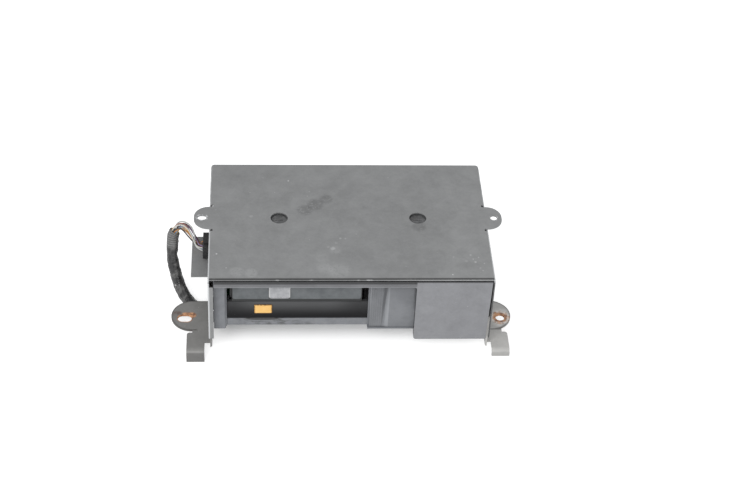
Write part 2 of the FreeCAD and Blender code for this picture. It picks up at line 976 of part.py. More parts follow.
# ---- front moulding with the door track, the mouth and a finger scoop ----------------------
TRACK_TOP = f"({COVER_LOW} - track_roof)"
face = block(
    "fascia_block",
    (f"-{UNIT_HALF}", "fascia_front", "unit_low"),
    (UNIT_HALF, "unit_front", COVER_LOW),
)
lower_lip = block(
    "track_lower_lip",
    ("mouth_left - 1", "fascia_front - slide_gap - track_lip", "unit_low"),
    ("track_right", "fascia_front - slide_gap", "track_low + track_lip_rise"),
)
lower_floor = block(
    "track_lower_floor",
    ("mouth_left - 1", "fascia_front - slide_gap - track_lip", "unit_low"),
    ("track_right", "fascia_front + 1", "track_low"),
)
upper_lip = block(
    "track_upper_lip",
    ("mouth_left - 1", "fascia_front - slide_gap - track_lip", f"{TRACK_TOP} - track_lip_rise"),
    ("track_right", "fascia_front - slide_gap", COVER_LOW),
)
upper_roof = block(
    "track_upper_roof",
    ("mouth_left - 1", "fascia_front - slide_gap - track_lip", TRACK_TOP),
    ("track_right", "fascia_front + 1", COVER_LOW),
)
track = block(
    "door_track",
    ("mouth_left", "fascia_front - slide_gap", "track_low"),
    ("track_right", "track_back", TRACK_TOP),
)
mouth = block(
    "mouth",
    ("mouth_left", "fascia_front", "mouth_low"),
    ("mouth_right", "unit_front + 1", "mouth_top"),
)
jamb = outline(
    "left_jamb_bevel",
    "XY",
    [
        ("mouth_left - jamb_width", "fascia_front - 0.1"),
        ("mouth_left + 0.1", "fascia_front - 0.1"),
        ("mouth_left + 0.1", "fascia_front + jamb_depth"),
    ],
    "unit_low - 1",
    "mouth_top - unit_low + 1",
)
lip_under = block(
    "lip_under",
    ("mouth_left - 1", "fascia_front - slide_gap - track_lip - 1", "unit_low - 1"),
    ("mouth_right", "track_back", "track_low + track_lip_rise + 1"),
)
lip_edge = block(
    "lip_edge",
    ("mouth_left", "track_back - 1", "unit_low - 1"),
    ("mouth_right", "unit_front + 1", "lip_low"),
)
scoop = document.addObject("Part::Ellipsoid", "finger_scoop")
scoop.setExpression("Radius1", bound("scoop_height / 2"))
scoop.setExpression("Radius2", bound("scoop_width / 2"))
scoop.setExpression("Radius3", bound("scoop_depth"))
placed(scoop, ("scoop_middle", "track_back", "scoop_up"))
node(
    "fascia",
    cut(
        "fascia_cut",
        joined("fascia_joined", face, lower_floor, lower_lip, upper_lip, upper_roof),
        track,
        mouth,
        jamb,
        lip_under,
        lip_edge,
        scoop,
    ),
)

# ---- sliding door --------------------------------------------------------------------------
LEAF_LOW = "(track_low + slide_gap)"
LEAF_TOP = f"({TRACK_TOP} - slide_gap)"
leaf = outline(
    "door_leaf_section",
    "XY",
    [
        ("leaf_left", "fascia_front + leaf_thick"),
        ("leaf_left", "fascia_front + grip_depth"),
        ("leaf_left + grip_width", "fascia_front + grip_depth"),
        ("leaf_left + grip_width + ramp_width", "fascia_front"),
        ("leaf_left + leaf_width", "fascia_front"),
        ("leaf_left + leaf_width", "fascia_front + leaf_thick"),
    ],
    LEAF_LOW,
    f"{LEAF_TOP} - {LEAF_LOW}",
)
ribs = [
    block(
        f"grip_rib_{i}",
        (
            f"leaf_left + grip_width * ({i} + 0.5) / grip_ribs - grip_rib_width / 2",
            "fascia_front + grip_depth - 0.5",
            f"{LEAF_LOW} + 4",
        ),
        (
            f"leaf_left + grip_width * ({i} + 0.5) / grip_ribs + grip_rib_width / 2",
            "fascia_front + grip_depth + 0.5",
            f"{LEAF_TOP} - 4",
        ),
    )
    for i in range(int(number("grip_ribs")))
]
node("shutter_front_leaf", joined("door_leaf_joined", leaf, *ribs))
LEAF_BACK = "(fascia_front + leaf_thick + slide_gap)"
rear_plate = block(
    "rear_leaf_plate",
    ("rear_leaf_left", LEAF_BACK, LEAF_LOW),
    ("rear_leaf_left + leaf_width", f"{LEAF_BACK} + rear_leaf_thick", LEAF_TOP),
)
rear_relief = block(
    "rear_leaf_window",
    ("rear_leaf_left + 12", f"{LEAF_BACK} + rear_leaf_thick - 0.4", f"{LEAF_LOW} + 12"),
    ("rear_leaf_left + leaf_width - 12", f"{LEAF_BACK} + rear_leaf_thick + 1", f"{LEAF_TOP} - 12"),
)
node("shutter_rear_leaf", cut("rear_leaf_cut", rear_plate, rear_relief))

# ---- eject panel, button, lever -------------------------------------------------------------
EJECT_RIGHT = "(eject_left + eject_width)"
EJECT_TOP = "(eject_low + eject_height)"
EJECT_X = "(eject_left + eject_width / 2)"
EJECT_Z = "(eject_low + eject_height / 2)"
bar = outline(
    "eject_bar_section",
    "YZ",
    [
        ("track_back", "mouth_low + slide_gap"),
        ("track_back", "panel_top"),
        ("unit_front + panel_thick - 1", "panel_top"),
        ("unit_front + panel_thick - 1", "mouth_low + slide_gap"),
    ],
    "mouth_left + slide_gap",
    "mouth_right - mouth_left - 2 * slide_gap",
    [
        ("panel_round", [("track_back", "panel_top")]),
        ("panel_round / 3", [("track_back", "mouth_low + slide_gap")]),
    ],
)
button_hole = block(
    "button_hole",
    ("eject_left - slide_gap", "track_back - 1", "eject_low - slide_gap"),
    (f"{EJECT_RIGHT} + slide_gap", "unit_front + panel_thick + 1", f"{EJECT_TOP} + slide_gap"),
)
panel_feet = [
    block(
        f"panel_foot_{i}",
        (x, "unit_front", "mouth_low - 3"),
        (f"{x} + 8", "unit_front + panel_thick - 1", "mouth_low + 1"),
    )
    for i, x in enumerate(("mouth_left + 6", "mouth_right - 14"))
]
node(
    "eject_panel",
    joined(
        "eject_panel_joined",
        cut("eject_bar_cut", bar, button_hole),
        *panel_feet,
    ),
)
cap = outline(
    "eject_cap",
    "XZ",
    [
        ("eject_left", "eject_low"),
        ("eject_left", EJECT_TOP),
        (EJECT_RIGHT, EJECT_TOP),
        (EJECT_RIGHT, "eject_low"),
    ],
    "track_back - eject_proud + 1",
    "5",
    [
        (
            "0.8",
            [
                ("eject_left", "eject_low"),
                ("eject_left", EJECT_TOP),
                (EJECT_RIGHT, EJECT_TOP),
                (EJECT_RIGHT, "eject_low"),
            ],
        )
    ],
)
stem = block(
    "eject_stem",
    (f"{EJECT_X} - stem_width / 2", "track_back", f"{EJECT_Z} - stem_width / 2"),
    (
        f"{EJECT_X} + stem_width / 2",
        "lever_pivot_y - lever_width / 2 - stem_gap",
        f"{EJECT_Z} + stem_width / 2",
    ),
)
node("eject_button", joined("eject_button_joined", cap, stem))
lever_bar = block(
    "lever_bar",
    ("lever_pivot_x - lever_tail", "lever_pivot_y - lever_width / 2", "lever_low"),
    ("lever_pivot_x + lever_nose", "lever_pivot_y + lever_width / 2", "lever_low + lever_thick"),
)
lever_boss = rod(
    "lever_boss",
    ("lever_pivot_x", "lever_pivot_y", "lever_low - 2"),
    "z",
    "lever_thick + 3",
    "lever_width * 0.8",
)
lever_finger = block(
    "lever_finger",
    ("lever_pivot_x + lever_nose - 4", "lever_pivot_y - 2", "lever_low"),
    ("lever_pivot_x + lever_nose", "lever_pivot_y + 2", "magazine_low - 0.6"),
)
lever_bore = rod(
    "lever_bore",
    ("lever_pivot_x", "lever_pivot_y", "lever_low - 5"),
    "z",
    "20",
    "lever_pin_radius + running_gap",
)
node(
    "eject_lever",
    cut("eject_lever_cut", joined("lever_joined", lever_bar, lever_boss, lever_finger), lever_bore),
)

# ---- magazine -------------------------------------------------------------------------------
MAG_RIGHT = "(magazine_left + magazine_width)"
MAG_BACK = "(magazine_front_y + magazine_depth)"
MAG_TOP = "(magazine_low + magazine_height)"
MAG_INSIDE = "(magazine_front_y + magazine_cap)"
TRAY_FRONT = f"({MAG_INSIDE} + magazine_wall + slide_gap)"
TRAY_BACK = f"({MAG_BACK} - magazine_wall - slide_gap)"
TRAY_LEFT = "(magazine_left + magazine_wall + slide_gap + 0.6)"
TRAY_LOW = "(magazine_low + magazine_wall + slide_gap)"
mag_shell = cut(
    "magazine_box",
    block("magazine_block", ("magazine_left", MAG_INSIDE, "magazine_low"), (MAG_RIGHT, MAG_BACK, MAG_TOP)),
    block(
        "magazine_hollow",
        ("magazine_left + magazine_wall", f"{MAG_INSIDE} + magazine_wall", "magazine_low + magazine_wall"),
        (f"{MAG_RIGHT} + 1", f"{MAG_BACK} - magazine_wall", f"{MAG_TOP} - magazine_wall"),
    ),
)
mag_ribs = []
for k in range(5):
    low = f"{TRAY_LOW} + {k} * tray_pitch + tray_tongue_thick + slide_gap"
    high = f"{TRAY_LOW} + {k + 1} * tray_pitch - slide_gap"
    mag_ribs.append(
        block(
            f"front_rib_{k + 1}",
            ("magazine_left + 0.5", f"{MAG_INSIDE} + 0.5", low),
            (f"{MAG_RIGHT} - 0.5", f"{MAG_INSIDE} + magazine_wall + tray_tongue - slide_gap", high),
        )
    )
    mag_ribs.append(
        block(
            f"back_rib_{k + 1}",
            ("magazine_left + 0.5", f"{MAG_BACK} - magazine_wall - tray_tongue + slide_gap", low),
            (f"{MAG_RIGHT} - 0.5", f"{MAG_BACK} - 0.5", high),
        )
    )
node("magazine_shell", joined("magazine_joined", mag_shell, *mag_ribs))
KEY_RIGHT = "(key_left + key_width)"
CAP_LOW = "(magazine_low - cap_drop)"
front_cap = outline(
    "magazine_cap_section",
    "XZ",
    [
        ("magazine_left", CAP_LOW),
        ("magazine_left", MAG_TOP),
        (MAG_RIGHT, MAG_TOP),
        (MAG_RIGHT, CAP_LOW),
    ],
    "magazine_front_y",
    "magazine_cap",
    [
        (
            "1",
            [
                ("magazine_left", CAP_LOW),
                ("magazine_left", MAG_TOP),
                (MAG_RIGHT, MAG_TOP),
                (MAG_RIGHT, CAP_LOW),
            ],
        )
    ],
)
skirt_relief = block(
    "skirt_relief",
    ("magazine_left - 1", "magazine_front_y + cap_skirt", f"{CAP_LOW} - 1"),
    (f"{MAG_RIGHT} + 1", f"{MAG_INSIDE} + 1", "magazine_low"),
)
key_recess = block(
    "key_recess",
    ("key_left - slide_gap", "magazine_front_y - 1", "key_low - slide_gap"),
    (f"{KEY_RIGHT} + slide_gap", "magazine_front_y + magazine_cap - 1", "key_low + key_height + slide_gap"),
)
node("magazine_front", cut("magazine_front_cut", front_cap, skirt_relief, key_recess))
key = block(
    "key_block",
    ("key_left", "magazine_front_y - key_proud + 0.5", "key_low"),
    (KEY_RIGHT, "magazine_front_y + magazine_cap - 1 - 2.2", "key_low + key_height"),
)
key_ribs = [
    block(
        f"key_rib_{i}",
        (f"key_left + {i} * key_width / 7 + 0.9", "magazine_front_y - key_proud", "key_low + 0.8"),
        (f"key_left + {i} * key_width / 7 + 2.0", "magazine_front_y", "key_low + key_height - 0.8"),
    )
    for i in range(7)
]
node("magazine_button", joined("key_joined", key, *key_ribs))
DISC_X = f"({TRAY_LEFT} + tray_width / 2)"
DISC_Y = f"(({TRAY_FRONT} + {TRAY_BACK}) / 2)"
for k in range(6):
    low = f"({TRAY_LOW} + {k} * tray_pitch)"
    tongue = block(
        f"tray_{k + 1}_tongue",
        (TRAY_LEFT, TRAY_FRONT, low),
        (f"{TRAY_LEFT} + tray_width", TRAY_BACK, f"{low} + tray_tongue_thick"),
    )
    plate = block(
        f"tray_{k + 1}_plate",
        (TRAY_LEFT, f"{TRAY_FRONT} + tray_tongue", low),
        (f"{TRAY_LEFT} + tray_width", f"{TRAY_BACK} - tray_tongue", f"{low} + tray_thick"),
    )
    pocket = rod(
        f"tray_{k + 1}_pocket",
        (DISC_X, DISC_Y, f"{low} + tray_thick - disc_pocket_depth"),
        "z",
        "4",
        "disc_pocket_radius",
    )
    hole = rod(f"tray_{k + 1}_hole", (DISC_X, DISC_Y, f"{low} - 1"), "z", "6", "tray_hole_radius")
    slot = block(
        f"tray_{k + 1}_slot",
        (DISC_X, f"{DISC_Y} - tray_slot / 2", f"{low} - 1"),
        (f"{TRAY_LEFT} + tray_width + 1", f"{DISC_Y} + tray_slot / 2", f"{low} + 6"),
    )
    node(
        f"disc_tray_{k + 1}",
        cut(f"tray_{k + 1}_cut", joined(f"tray_{k + 1}_joined", tongue, plate), pocket, hole, slot),
    )

# ---- mechanism frame on rubber dampers, and the magazine guide --------------------------------
FRAME_TOP = "(frame_low + frame_steel)"
frame_plate = block(
    "frame_plate",
    ("-frame_width / 2", "frame_front", "frame_low"),
    ("frame_width / 2", "frame_back", FRAME_TOP),
)
STANDOFFS = [
    (x, y)
    for x in ("board_left + 5", "board_right - 5") for y in ("board_front + 5", "board_back - 5")
]
standoffs = [
    rod(f"standoff_{i}", (x, y, "frame_low"), "z", "board_low - frame_low", "standoff_radius")
    for i, (x, y) in enumerate(STANDOFFS)
]
node("mechanism_frame", joined("frame_joined", frame_plate, *standoffs))
dampers = [
    rod(
        f"damper_{i}",
        (f"{sign} * damper_spread / 2", y, BASE_TOP),
        "z",
        f"frame_low - {BASE_TOP}",
        "damper_radius",
    )
    for i, (sign, y) in enumerate((s, y) for s in (-1, 1) for y in ("damper_front", "damper_back"))
]
node("rubber_dampers", group("damper_group", *dampers))
GUIDE_TOP = "(magazine_low - guide_gap)"
guide_floor = block(
    "guide_floor",
    ("magazine_left - guide_gap - guide_wall", "unit_front + panel_thick", f"{GUIDE_TOP} - guide_wall / 2"),
    (f"{MAG_RIGHT} + 1", f"{MAG_BACK} + guide_gap + guide_wall", GUIDE_TOP),
)
guide_side = block(
    "guide_side",
    ("magazine_left - guide_gap - guide_wall", "unit_front + panel_thick", f"{GUIDE_TOP} - guide_wall / 2"),
    ("magazine_left - guide_gap", f"{MAG_BACK} + guide_gap + guide_wall", f"{MAG_TOP} - 4"),
)
guide_rear = block(
    "guide_rear",
    ("magazine_left - guide_gap - guide_wall", f"{MAG_BACK} + guide_gap", f"{GUIDE_TOP} - guide_wall / 2"),
    (f"{MAG_RIGHT} + 1", f"{MAG_BACK} + guide_gap + guide_wall", f"{MAG_TOP} - 8"),
)
GUIDE_LEGS = [
    (x, y)
    for x in ("magazine_left + 4", f"{MAG_RIGHT} - 4") for y in ("frame_front + 7", f"{MAG_BACK} - 2")
]
guide_legs = [
    rod(f"guide_leg_{i}", (x, y, FRAME_TOP), "z", f"{GUIDE_TOP} - {FRAME_TOP} - 0.2", "guide_leg_radius")
    for i, (x, y) in enumerate(GUIDE_LEGS)
]
finger_slot = block(
    "finger_slot",
    ("lever_pivot_x + lever_nose - 8", "lever_pivot_y - 8", f"{GUIDE_TOP} - guide_wall"),
    ("lever_pivot_x + lever_nose + 4", "lever_pivot_y + 5", f"{GUIDE_TOP} + 1"),
)
node(
    "magazine_guide",
    cut(
        "magazine_guide_cut",
        joined("guide_joined", guide_floor, guide_side, guide_rear, *guide_legs),
        finger_slot,
    ),
)
node(
    "lever_pin",
    joined(
        "lever_pin_joined",
        rod(
            "lever_pin_rod",
            ("lever_pivot_x", "lever_pivot_y", FRAME_TOP),
            "z",
            f"lever_low + lever_thick + 2 - {FRAME_TOP}",
            "lever_pin_radius",
        ),
        rod(
            "lever_pin_collar",
            ("lever_pivot_x", "lever_pivot_y", FRAME_TOP),
            "z",
            f"lever_low - 2.3 - {FRAME_TOP}",
            "lever_width * 0.6",
        ),
    ),
)

# ---- circuit board ----------------------------------------------------------------------------
BOARD_TOP = "(board_low + board_thick)"
node(
    "main_board",
    cut(
        "board_cut",
        block(
            "board_plate",
            ("board_left", "board_front", "board_low"),
            ("board_right", "board_back", BOARD_TOP),
        ),
        block(
            "board_notch",
            ("board_left + 50", "board_back - 8", "board_low - 1"),
            ("board_left + 62", "board_back + 1", f"{BOARD_TOP} + 1"),
        ),
    ),
)
CHIPS = [
    ("controller_chip", 40, 30, 16, 16, 2.4),
    ("servo_chip", 70, 26, 14, 20, 2.4),
    ("audio_chip", 84, 60, 12, 10, 2.0),
    ("memory_chip", 44, 62, 18, 8, 2.0),
    ("ribbon_header", 96, 20, 8, 34, 6.0),
]
chips = [
    block(
        name,
        (f"board_left + {x}", f"board_front + {y}", BOARD_TOP),
        (f"board_left + {x + wide}", f"board_front + {y + deep}", f"{BOARD_TOP} + {tall}"),
    )
    for name, x, y, wide, deep, tall in CHIPS
]
CANS = [(22, 14, 4, 11), (32, 14, 4, 11), (60, 78, 5, 12), (74, 78, 3, 8), (20, 74, 3, 8)]
chips += [
    rod(
        f"capacitor_{i}",
        (f"board_left + {x}", f"board_front + {y}", BOARD_TOP),
        "z",
        str(tall),
        str(radius),
    )
    for i, (x, y, radius, tall) in enumerate(CANS)
]
node("board_components", group("board_component_group", *chips))

# ---- socket in the left side and the vehicle's plug in it ----------------------------------------
SOCKET_MID = "(socket_low + socket_height / 2)"
socket_box = block(
    "socket_box",
    (f"-{WEB_IN} - 0.7", SOCKET_FRONT, "socket_low"),
    ("magazine_left - guide_gap - guide_wall - 0.6", SOCKET_REAR, "socket_low + socket_height"),
)
NOSE_HALF = "(plug_length / 2 - 2)"
socket_hollow = block(
    "socket_hollow",
    (
        f"-{WEB_IN} - 2",
        f"socket_back - {NOSE_HALF} - slide_gap",
        f"{SOCKET_MID} - plug_height / 2 + 1.5 - slide_gap",
    ),
    (
        "-plug_nose_in + slide_gap",
        f"socket_back + {NOSE_HALF} + slide_gap",
        f"{SOCKET_MID} + plug_height / 2 - 1.5 + slide_gap",
    ),
)
socket_leg = block(
    "socket_leg",
    ("board_left + 1", SOCKET_FRONT, BOARD_TOP),
    ("board_left + 6", SOCKET_REAR, "socket_low + 1"),
)
node("connector_socket", joined("socket_joined", cut("socket_cut", socket_box, socket_hollow), socket_leg))
plug_head = block(
    "plug_head",
    ("-plug_out", "socket_back - plug_length / 2", f"{SOCKET_MID} - plug_height / 2"),
    (f"-{WEB_IN} - 0.7 - slide_gap", "socket_back + plug_length / 2", f"{SOCKET_MID} + plug_height / 2"),
)
plug_nose = block(
    "plug_nose",
    (f"-{WEB_IN} - 2", f"socket_back - {NOSE_HALF}", f"{SOCKET_MID} - plug_height / 2 + 1.5"),
    ("-plug_nose_in", f"socket_back + {NOSE_HALF}", f"{SOCKET_MID} + plug_height / 2 - 1.5"),
)
plug_latch = block(
    "plug_latch",
    ("-plug_out + 1", "socket_back - 5", f"{SOCKET_MID} + plug_height / 2 - 0.5"),
    (f"-{HALF} - 1", "socket_back + 5", f"{SOCKET_MID} + plug_height / 2 + 1.2"),
)
node("connector_plug", joined("plug_joined", plug_head, plug_nose, plug_latch))

# ---- disc lift --------------------------------------------------------------------------------
POSTS = [("post_left", "post_back"), ("post_right", "post_back"), ("post_right", "post_front")]
posts = [
    rod(f"lift_post_{i}", (x, y, FRAME_TOP), "z", f"post_top - {FRAME_TOP}", "post_radius")
    for i, (x, y) in enumerate(POSTS)
]
node("lift_posts", group("lift_post_group", *posts))
DECK_TOP = "(deck_low + deck_steel)"
LEAD_Y = "(rail_front - lead_screw_gap)"
deck_plate = block(
    "deck_plate",
    ("deck_left", "deck_front", "deck_low"),
    ("deck_right", "deck_back", DECK_TOP),
)
bushes = [
    rod(f"deck_bush_{i}", (x, y, "deck_low - 2"), "z", "deck_steel + 6", "post_radius * 2")
    for i, (x, y) in enumerate(POSTS)
]
lugs = [
    block(
        "left_lug",
        ("rail_left", f"{LEAD_Y} - 4", DECK_TOP),
        ("rail_left + lug_thick", "rail_back + 4", "lug_top"),
    ),
    block(
        "right_lug",
        ("rail_right - lug_thick", f"{LEAD_Y} - 4", DECK_TOP),
        ("rail_right", "rail_back + 4", "lug_top"),
    ),
]
puller_rail = block(
    "puller_rail",
    ("puller_left - 2", "puller_rail_y", DECK_TOP),
    ("puller_left + puller_width + 86", "puller_rail_y + puller_rail_width", "puller_rail_top"),
)
CLAMP_LEFT = "(spindle_x - clamp_width / 2)"
CLAMP_RIGHT = "(spindle_x + clamp_width / 2)"
clamp_stand = block(
    "clamp_stand",
    (f"{CLAMP_LEFT} + clamp_steel + slide_gap", "clamp_pivot_y - 2.5", DECK_TOP),
    (f"{CLAMP_RIGHT} - clamp_steel - slide_gap", "clamp_pivot_y + 2.5", "clamp_low - 0.5"),
)
lift_pins = [
    rod(
        f"lift_pin_{i}",
        ("deck_right - 1", y, "pin_z"),
        "x",
        "cam_x + cam_steel + 0.8 - deck_right + 1",
        "pin_radius",
    )
    for i, y in enumerate(("pin_front", "pin_back"))
]
pin_lugs = [
    block(
        f"pin_lug_{i}",
        ("deck_right - 2.5", f"{y} - 4", "deck_low"),
        ("deck_right", f"{y} + 4", "pin_z + pin_radius + 1.5"),
    )
    for i, y in enumerate(("pin_front", "pin_back"))
]
deck_holes = [
    rod(f"deck_post_hole_{i}", (x, y, "deck_low - 5"), "z", "20", "post_radius + running_gap")
    for i, (x, y) in enumerate(POSTS)
]
deck_holes.append(
    rod("deck_spindle_hole", ("spindle_x", "spindle_y", "deck_low - 1"), "z", "4", "shaft_radius * 4"),
)
for i, y in enumerate(("rail_front", "rail_back")):
    deck_holes.append(
        rod(
            f"deck_rail_hole_{i}",
            ("rail_left - 1", y, "rail_z"),
            "x",
            "rail_right - rail_left + 2",
            "rail_radius",
        ),
    )
deck_holes.append(
    rod(
        "deck_screw_hole",
        ("rail_left - 1", LEAD_Y, "rail_z"),
        "x",
        "rail_right - rail_left + 2",
        "lead_radius + running_gap",
    )
)
deck_holes.append(
    rod("clamp_pin_hole", ("spindle_x - 10", "clamp_pivot_y", "clamp_pivot_z"), "x", "20", "shaft_radius"),
)
node(
    "lift_deck",
    cut(
        "deck_cut",
        joined("deck_joined", deck_plate, *bushes, *lugs, puller_rail, clamp_stand, *lift_pins, *pin_lugs),
        *deck_holes,
    ),
)
node(
    "spindle_motor",
    cut(
        "spindle_motor_cut",
        joined(
            "spindle_motor_joined",
            rod(
                "spindle_can",
                ("spindle_x", "spindle_y", "deck_low - spindle_motor_height"),
                "z",
                "spindle_motor_height",
                "spindle_motor_radius",
            ),
            rod(
                "spindle_collar",
                ("spindle_x", "spindle_y", "deck_low - 1"),
                "z",
                "deck_steel + 2.5",
                "shaft_radius * 3",
            ),
        ),
        rod(
            "spindle_bore",
            ("spindle_x", "spindle_y", "deck_low - 6"),
            "z",
            "20",
            "shaft_radius + running_gap",
        ),
    ),
)
platter = joined(
    "platter_joined",
    rod(
        "platter",
        ("spindle_x", "spindle_y", "turntable_top - turntable_thick"),
        "z",
        "turntable_thick",
        "turntable_radius",
    ),
    rod("hub", ("spindle_x", "spindle_y", "turntable_top - 1"), "z", "hub_height + 1", "hub_radius"),
    rod(
        "spindle_boss",
        ("spindle_x", "spindle_y", "turntable_top - turntable_thick - 3"),
        "z",
        "4",
        "shaft_radius * 3",
    ),
    rod(
        "spindle_shaft",
        ("spindle_x", "spindle_y", "deck_low - 5.5"),
        "z",
        "turntable_top - deck_low + 5",
        "shaft_radius",
    ),
)
node(
    "turntable",
    cut(
        "turntable_cut",
        platter,
        rod(
            "hub_dimple",
            ("spindle_x", "spindle_y", "turntable_top + hub_height - 0.6"),
            "z",
            "2",
            "shaft_radius * 1.5",
        ),
    ),
)
arm_plate = block(
    "clamp_plate",
    (CLAMP_LEFT, "spindle_y - puck_radius + 2", "clamp_low"),
    (CLAMP_RIGHT, "clamp_pivot_y + 2.5", "clamp_low + clamp_steel"),
)
arm_eye = rod("clamp_eye", ("spindle_x", "spindle_y", "clamp_low"), "z", "clamp_steel", "puck_radius")
arm_ears = [
    block(
        f"clamp_ear_{i}",
        (x, "clamp_pivot_y - 2.5", "clamp_pivot_z - 2.5"),
        (f"{x} + clamp_steel", "clamp_pivot_y + 2.5", "clamp_low + clamp_steel"),
    )
    for i, x in enumerate((CLAMP_LEFT, f"({CLAMP_RIGHT} - clamp_steel)"))
]
node(
    "clamp_arm",
    cut(
        "clamp_arm_cut",
        joined("clamp_arm_joined", arm_plate, arm_eye, *arm_ears),
        rod(
            "clamp_bore",
            ("spindle_x - 20", "clamp_pivot_y", "clamp_pivot_z"),
            "x",
            "40",
            "shaft_radius + running_gap",
        ),
    ),
)
node(
    "clamp_pin",
    rod(
        "clamp_pin_rod",
        (f"{CLAMP_LEFT} - 0.8", "clamp_pivot_y", "clamp_pivot_z"),
        "x",
        "clamp_width + 1.6",
        "shaft_radius",
    ),
)
node(
    "disc_clamper",
    cut(
        "clamper_cut",
        rod(
            "clamper_puck",
            ("spindle_x", "spindle_y", "clamp_low - puck_thick"),
            "z",
            "puck_thick",
            "puck_radius",
        ),
        rod(
            "clamper_recess",
            ("spindle_x", "spindle_y", "clamp_low - puck_thick - 1"),
            "z",
            "2.2",
            "hub_radius + 0.8",
        ),
    ),
)
rails = [
    rod(
        f"sled_rail_{i}",
        ("rail_left - 0.5", y, "rail_z"),
        "x",
        "rail_right - rail_left + 1",
        "rail_radius",
    )
    for i, y in enumerate(("rail_front", "rail_back"))
]
node("sled_rails", group("sled_rail_group", *rails))
SLED_RIGHT = "(sled_left + sled_width)"
sled_body = block(
    "sled_block",
    ("sled_left", "rail_front - 4", "sled_low"),
    (SLED_RIGHT, "rail_back + 4", "sled_top"),
)
sled_nut = block(
    "sled_nut",
    ("sled_left + 4", f"{LEAD_Y} - 3.5", "sled_low"),
    (f"{SLED_RIGHT} - 4", "rail_front - 3", "sled_top"),
)
sled_holes = [
    rod(
        f"sled_hole_{i}",
        ("sled_left - 1", y, "rail_z"),
        "x",
        "sled_width + 2",
        "rail_radius + running_gap",
    )
    for i, y in enumerate(("rail_front", "rail_back"))
]
sled_holes.append(
    rod(
        "sled_nut_hole",
        ("sled_left - 1", LEAD_Y, "rail_z"),
        "x",
        "sled_width + 2",
        "lead_radius + running_gap",
    ),
)
LENS_X = "(sled_left + sled_width / 2)"
lens_seat = rod("lens_seat", (LENS_X, "spindle_y", "sled_top - 2"), "z", "4", "lens_radius")
node("pickup_sled", cut("sled_cut", joined("sled_joined", sled_body, sled_nut), *sled_holes, lens_seat))
lens_ball = document.addObject("Part::Sphere", "lens_ball")
lens_ball.setExpression("Radius", bound("lens_radius * 1.6"))
placed(lens_ball, (LENS_X, "spindle_y", "sled_top + lens_rise - lens_radius * 1.6"))
node(
    "objective_lens",
    common(
        "lens_common",
        lens_ball,
        rod("lens_barrel", (LENS_X, "spindle_y", "sled_top - 2"), "z", "2 + lens_rise", "lens_radius"),
    ),
)
node("lead_screw", joined(
    "lead_screw_joined",
    rod(
        "lead_screw_rod",
        ("rail_left - 2", LEAD_Y, "rail_z"),
        "x",
        "rail_right - rail_left + 7",
        "lead_radius",
    ),
    rod("lead_screw_knob", ("rail_left - 2", LEAD_Y, "rail_z"), "x", "1.6", "lead_radius * 1.8"),
))
node(
    "sled_motor",
    cut(
        "sled_motor_cut",
        rod(
            "sled_motor_can",
            ("rail_right", LEAD_Y, "rail_z"),
            "x",
            "sled_motor_length",
            "sled_motor_radius",
        ),
        rod("sled_motor_bore", ("rail_right - 1", LEAD_Y, "rail_z"), "x", "8", "lead_radius + running_gap"),
    ),
)
puller = cut(
    "puller_cut",
    block(
        "puller_block",
        ("puller_left", "puller_rail_y - 1.4", f"{DECK_TOP} + slide_gap"),
        ("puller_left + puller_width", "puller_rail_y + puller_rail_width + 1.4", "puller_top"),
    ),
    block(
        "puller_groove",
        ("puller_left - 1", "puller_rail_y - slide_gap", f"{DECK_TOP} - 1"),
        (
            "puller_left + puller_width + 1",
            "puller_rail_y + puller_rail_width + slide_gap",
            "puller_rail_top + slide_gap",
        ),
    ),
)
node("tray_puller", puller)

# ---- lift drive: motor, pinion, gear and a cam plate with a rack ------------------------------------
RACK_LINE = "(cam_low - 1.25 * gear_module)"
GEAR_Z = f"({RACK_LINE} - gear_module * gear_teeth / 2)"
MESH = "(gear_module * (gear_teeth + pinion_teeth) / 2)"
PINION_Y = f"(gear_y - {MESH} * cos(mesh_angle * 1deg))"
PINION_Z = f"({GEAR_Z} - {MESH} * sin(mesh_angle * 1deg))"
PITCH = "(pi * gear_module)"


def gear_solid(teeth, angle, start, place_y, place_z, width, bore):
    """A spur gear about an axis along x: involute flanks, with one tooth's middle at angle."""
    module = number("gear_module")
    pitch_radius = module * teeth / 2
    base_radius = pitch_radius * math.cos(math.radians(20))
    root_radius = pitch_radius - 1.25 * module
    tip_radius = pitch_radius + module
    play = number("backlash") / 4 / pitch_radius
    involute = lambda r: math.sqrt(max((r / base_radius) ** 2 - 1, 0)) - math.acos(min(base_radius / r, 1))
    half = math.pi / 2 / teeth + involute(pitch_radius) - play
    steps = [base_radius + (tip_radius - base_radius) * i / 5 for i in range(6)]
    flank = [(r, half - involute(r)) for r in steps]
    side = [(root_radius, half)] + flank
    tooth = [(r, -turn) for r, turn in side] + [(r, turn) for r, turn in reversed(side)]
    points = []
    for i in range(teeth):
        middle = math.radians(angle) + 2 * math.pi * i / teeth
        points += [Vector(0, r * math.cos(middle + a), r * math.sin(middle + a)) for r, a in tooth]
    face = Part.Face(Part.makePolygon(points + points[:1]))
    bore_face = Part.Face(Part.Wire(Part.makeCircle(bore, Vector(0, 0, 0), Vector(1, 0, 0))))
    solid = face.cut(bore_face).extrude(Vector(width, 0, 0))
    shift = [number(ORIGIN[axis]) for axis in "xyz"]
    return solid, Placement(Vector(start + shift[0], place_y + shift[1], place_z), Rotation())


def feature(name, solid, placement):
    """A piece whose outline is a formula."""
    made = document.addObject("Part::Feature", name)
    made.Shape = solid
    made.Placement = placement
    return made


gear_start = number("cam_x + cam_steel / 2 - gear_width / 2")
solid, place = gear_solid(
    int(number("gear_teeth")),
    90,
    gear_start,
    number("gear_y"),
    number(GEAR_Z),
    number("gear_width"),
    number("shaft_radius + running_gap"),
)
node("lift_gear", feature("lift_gear_solid", solid, place))
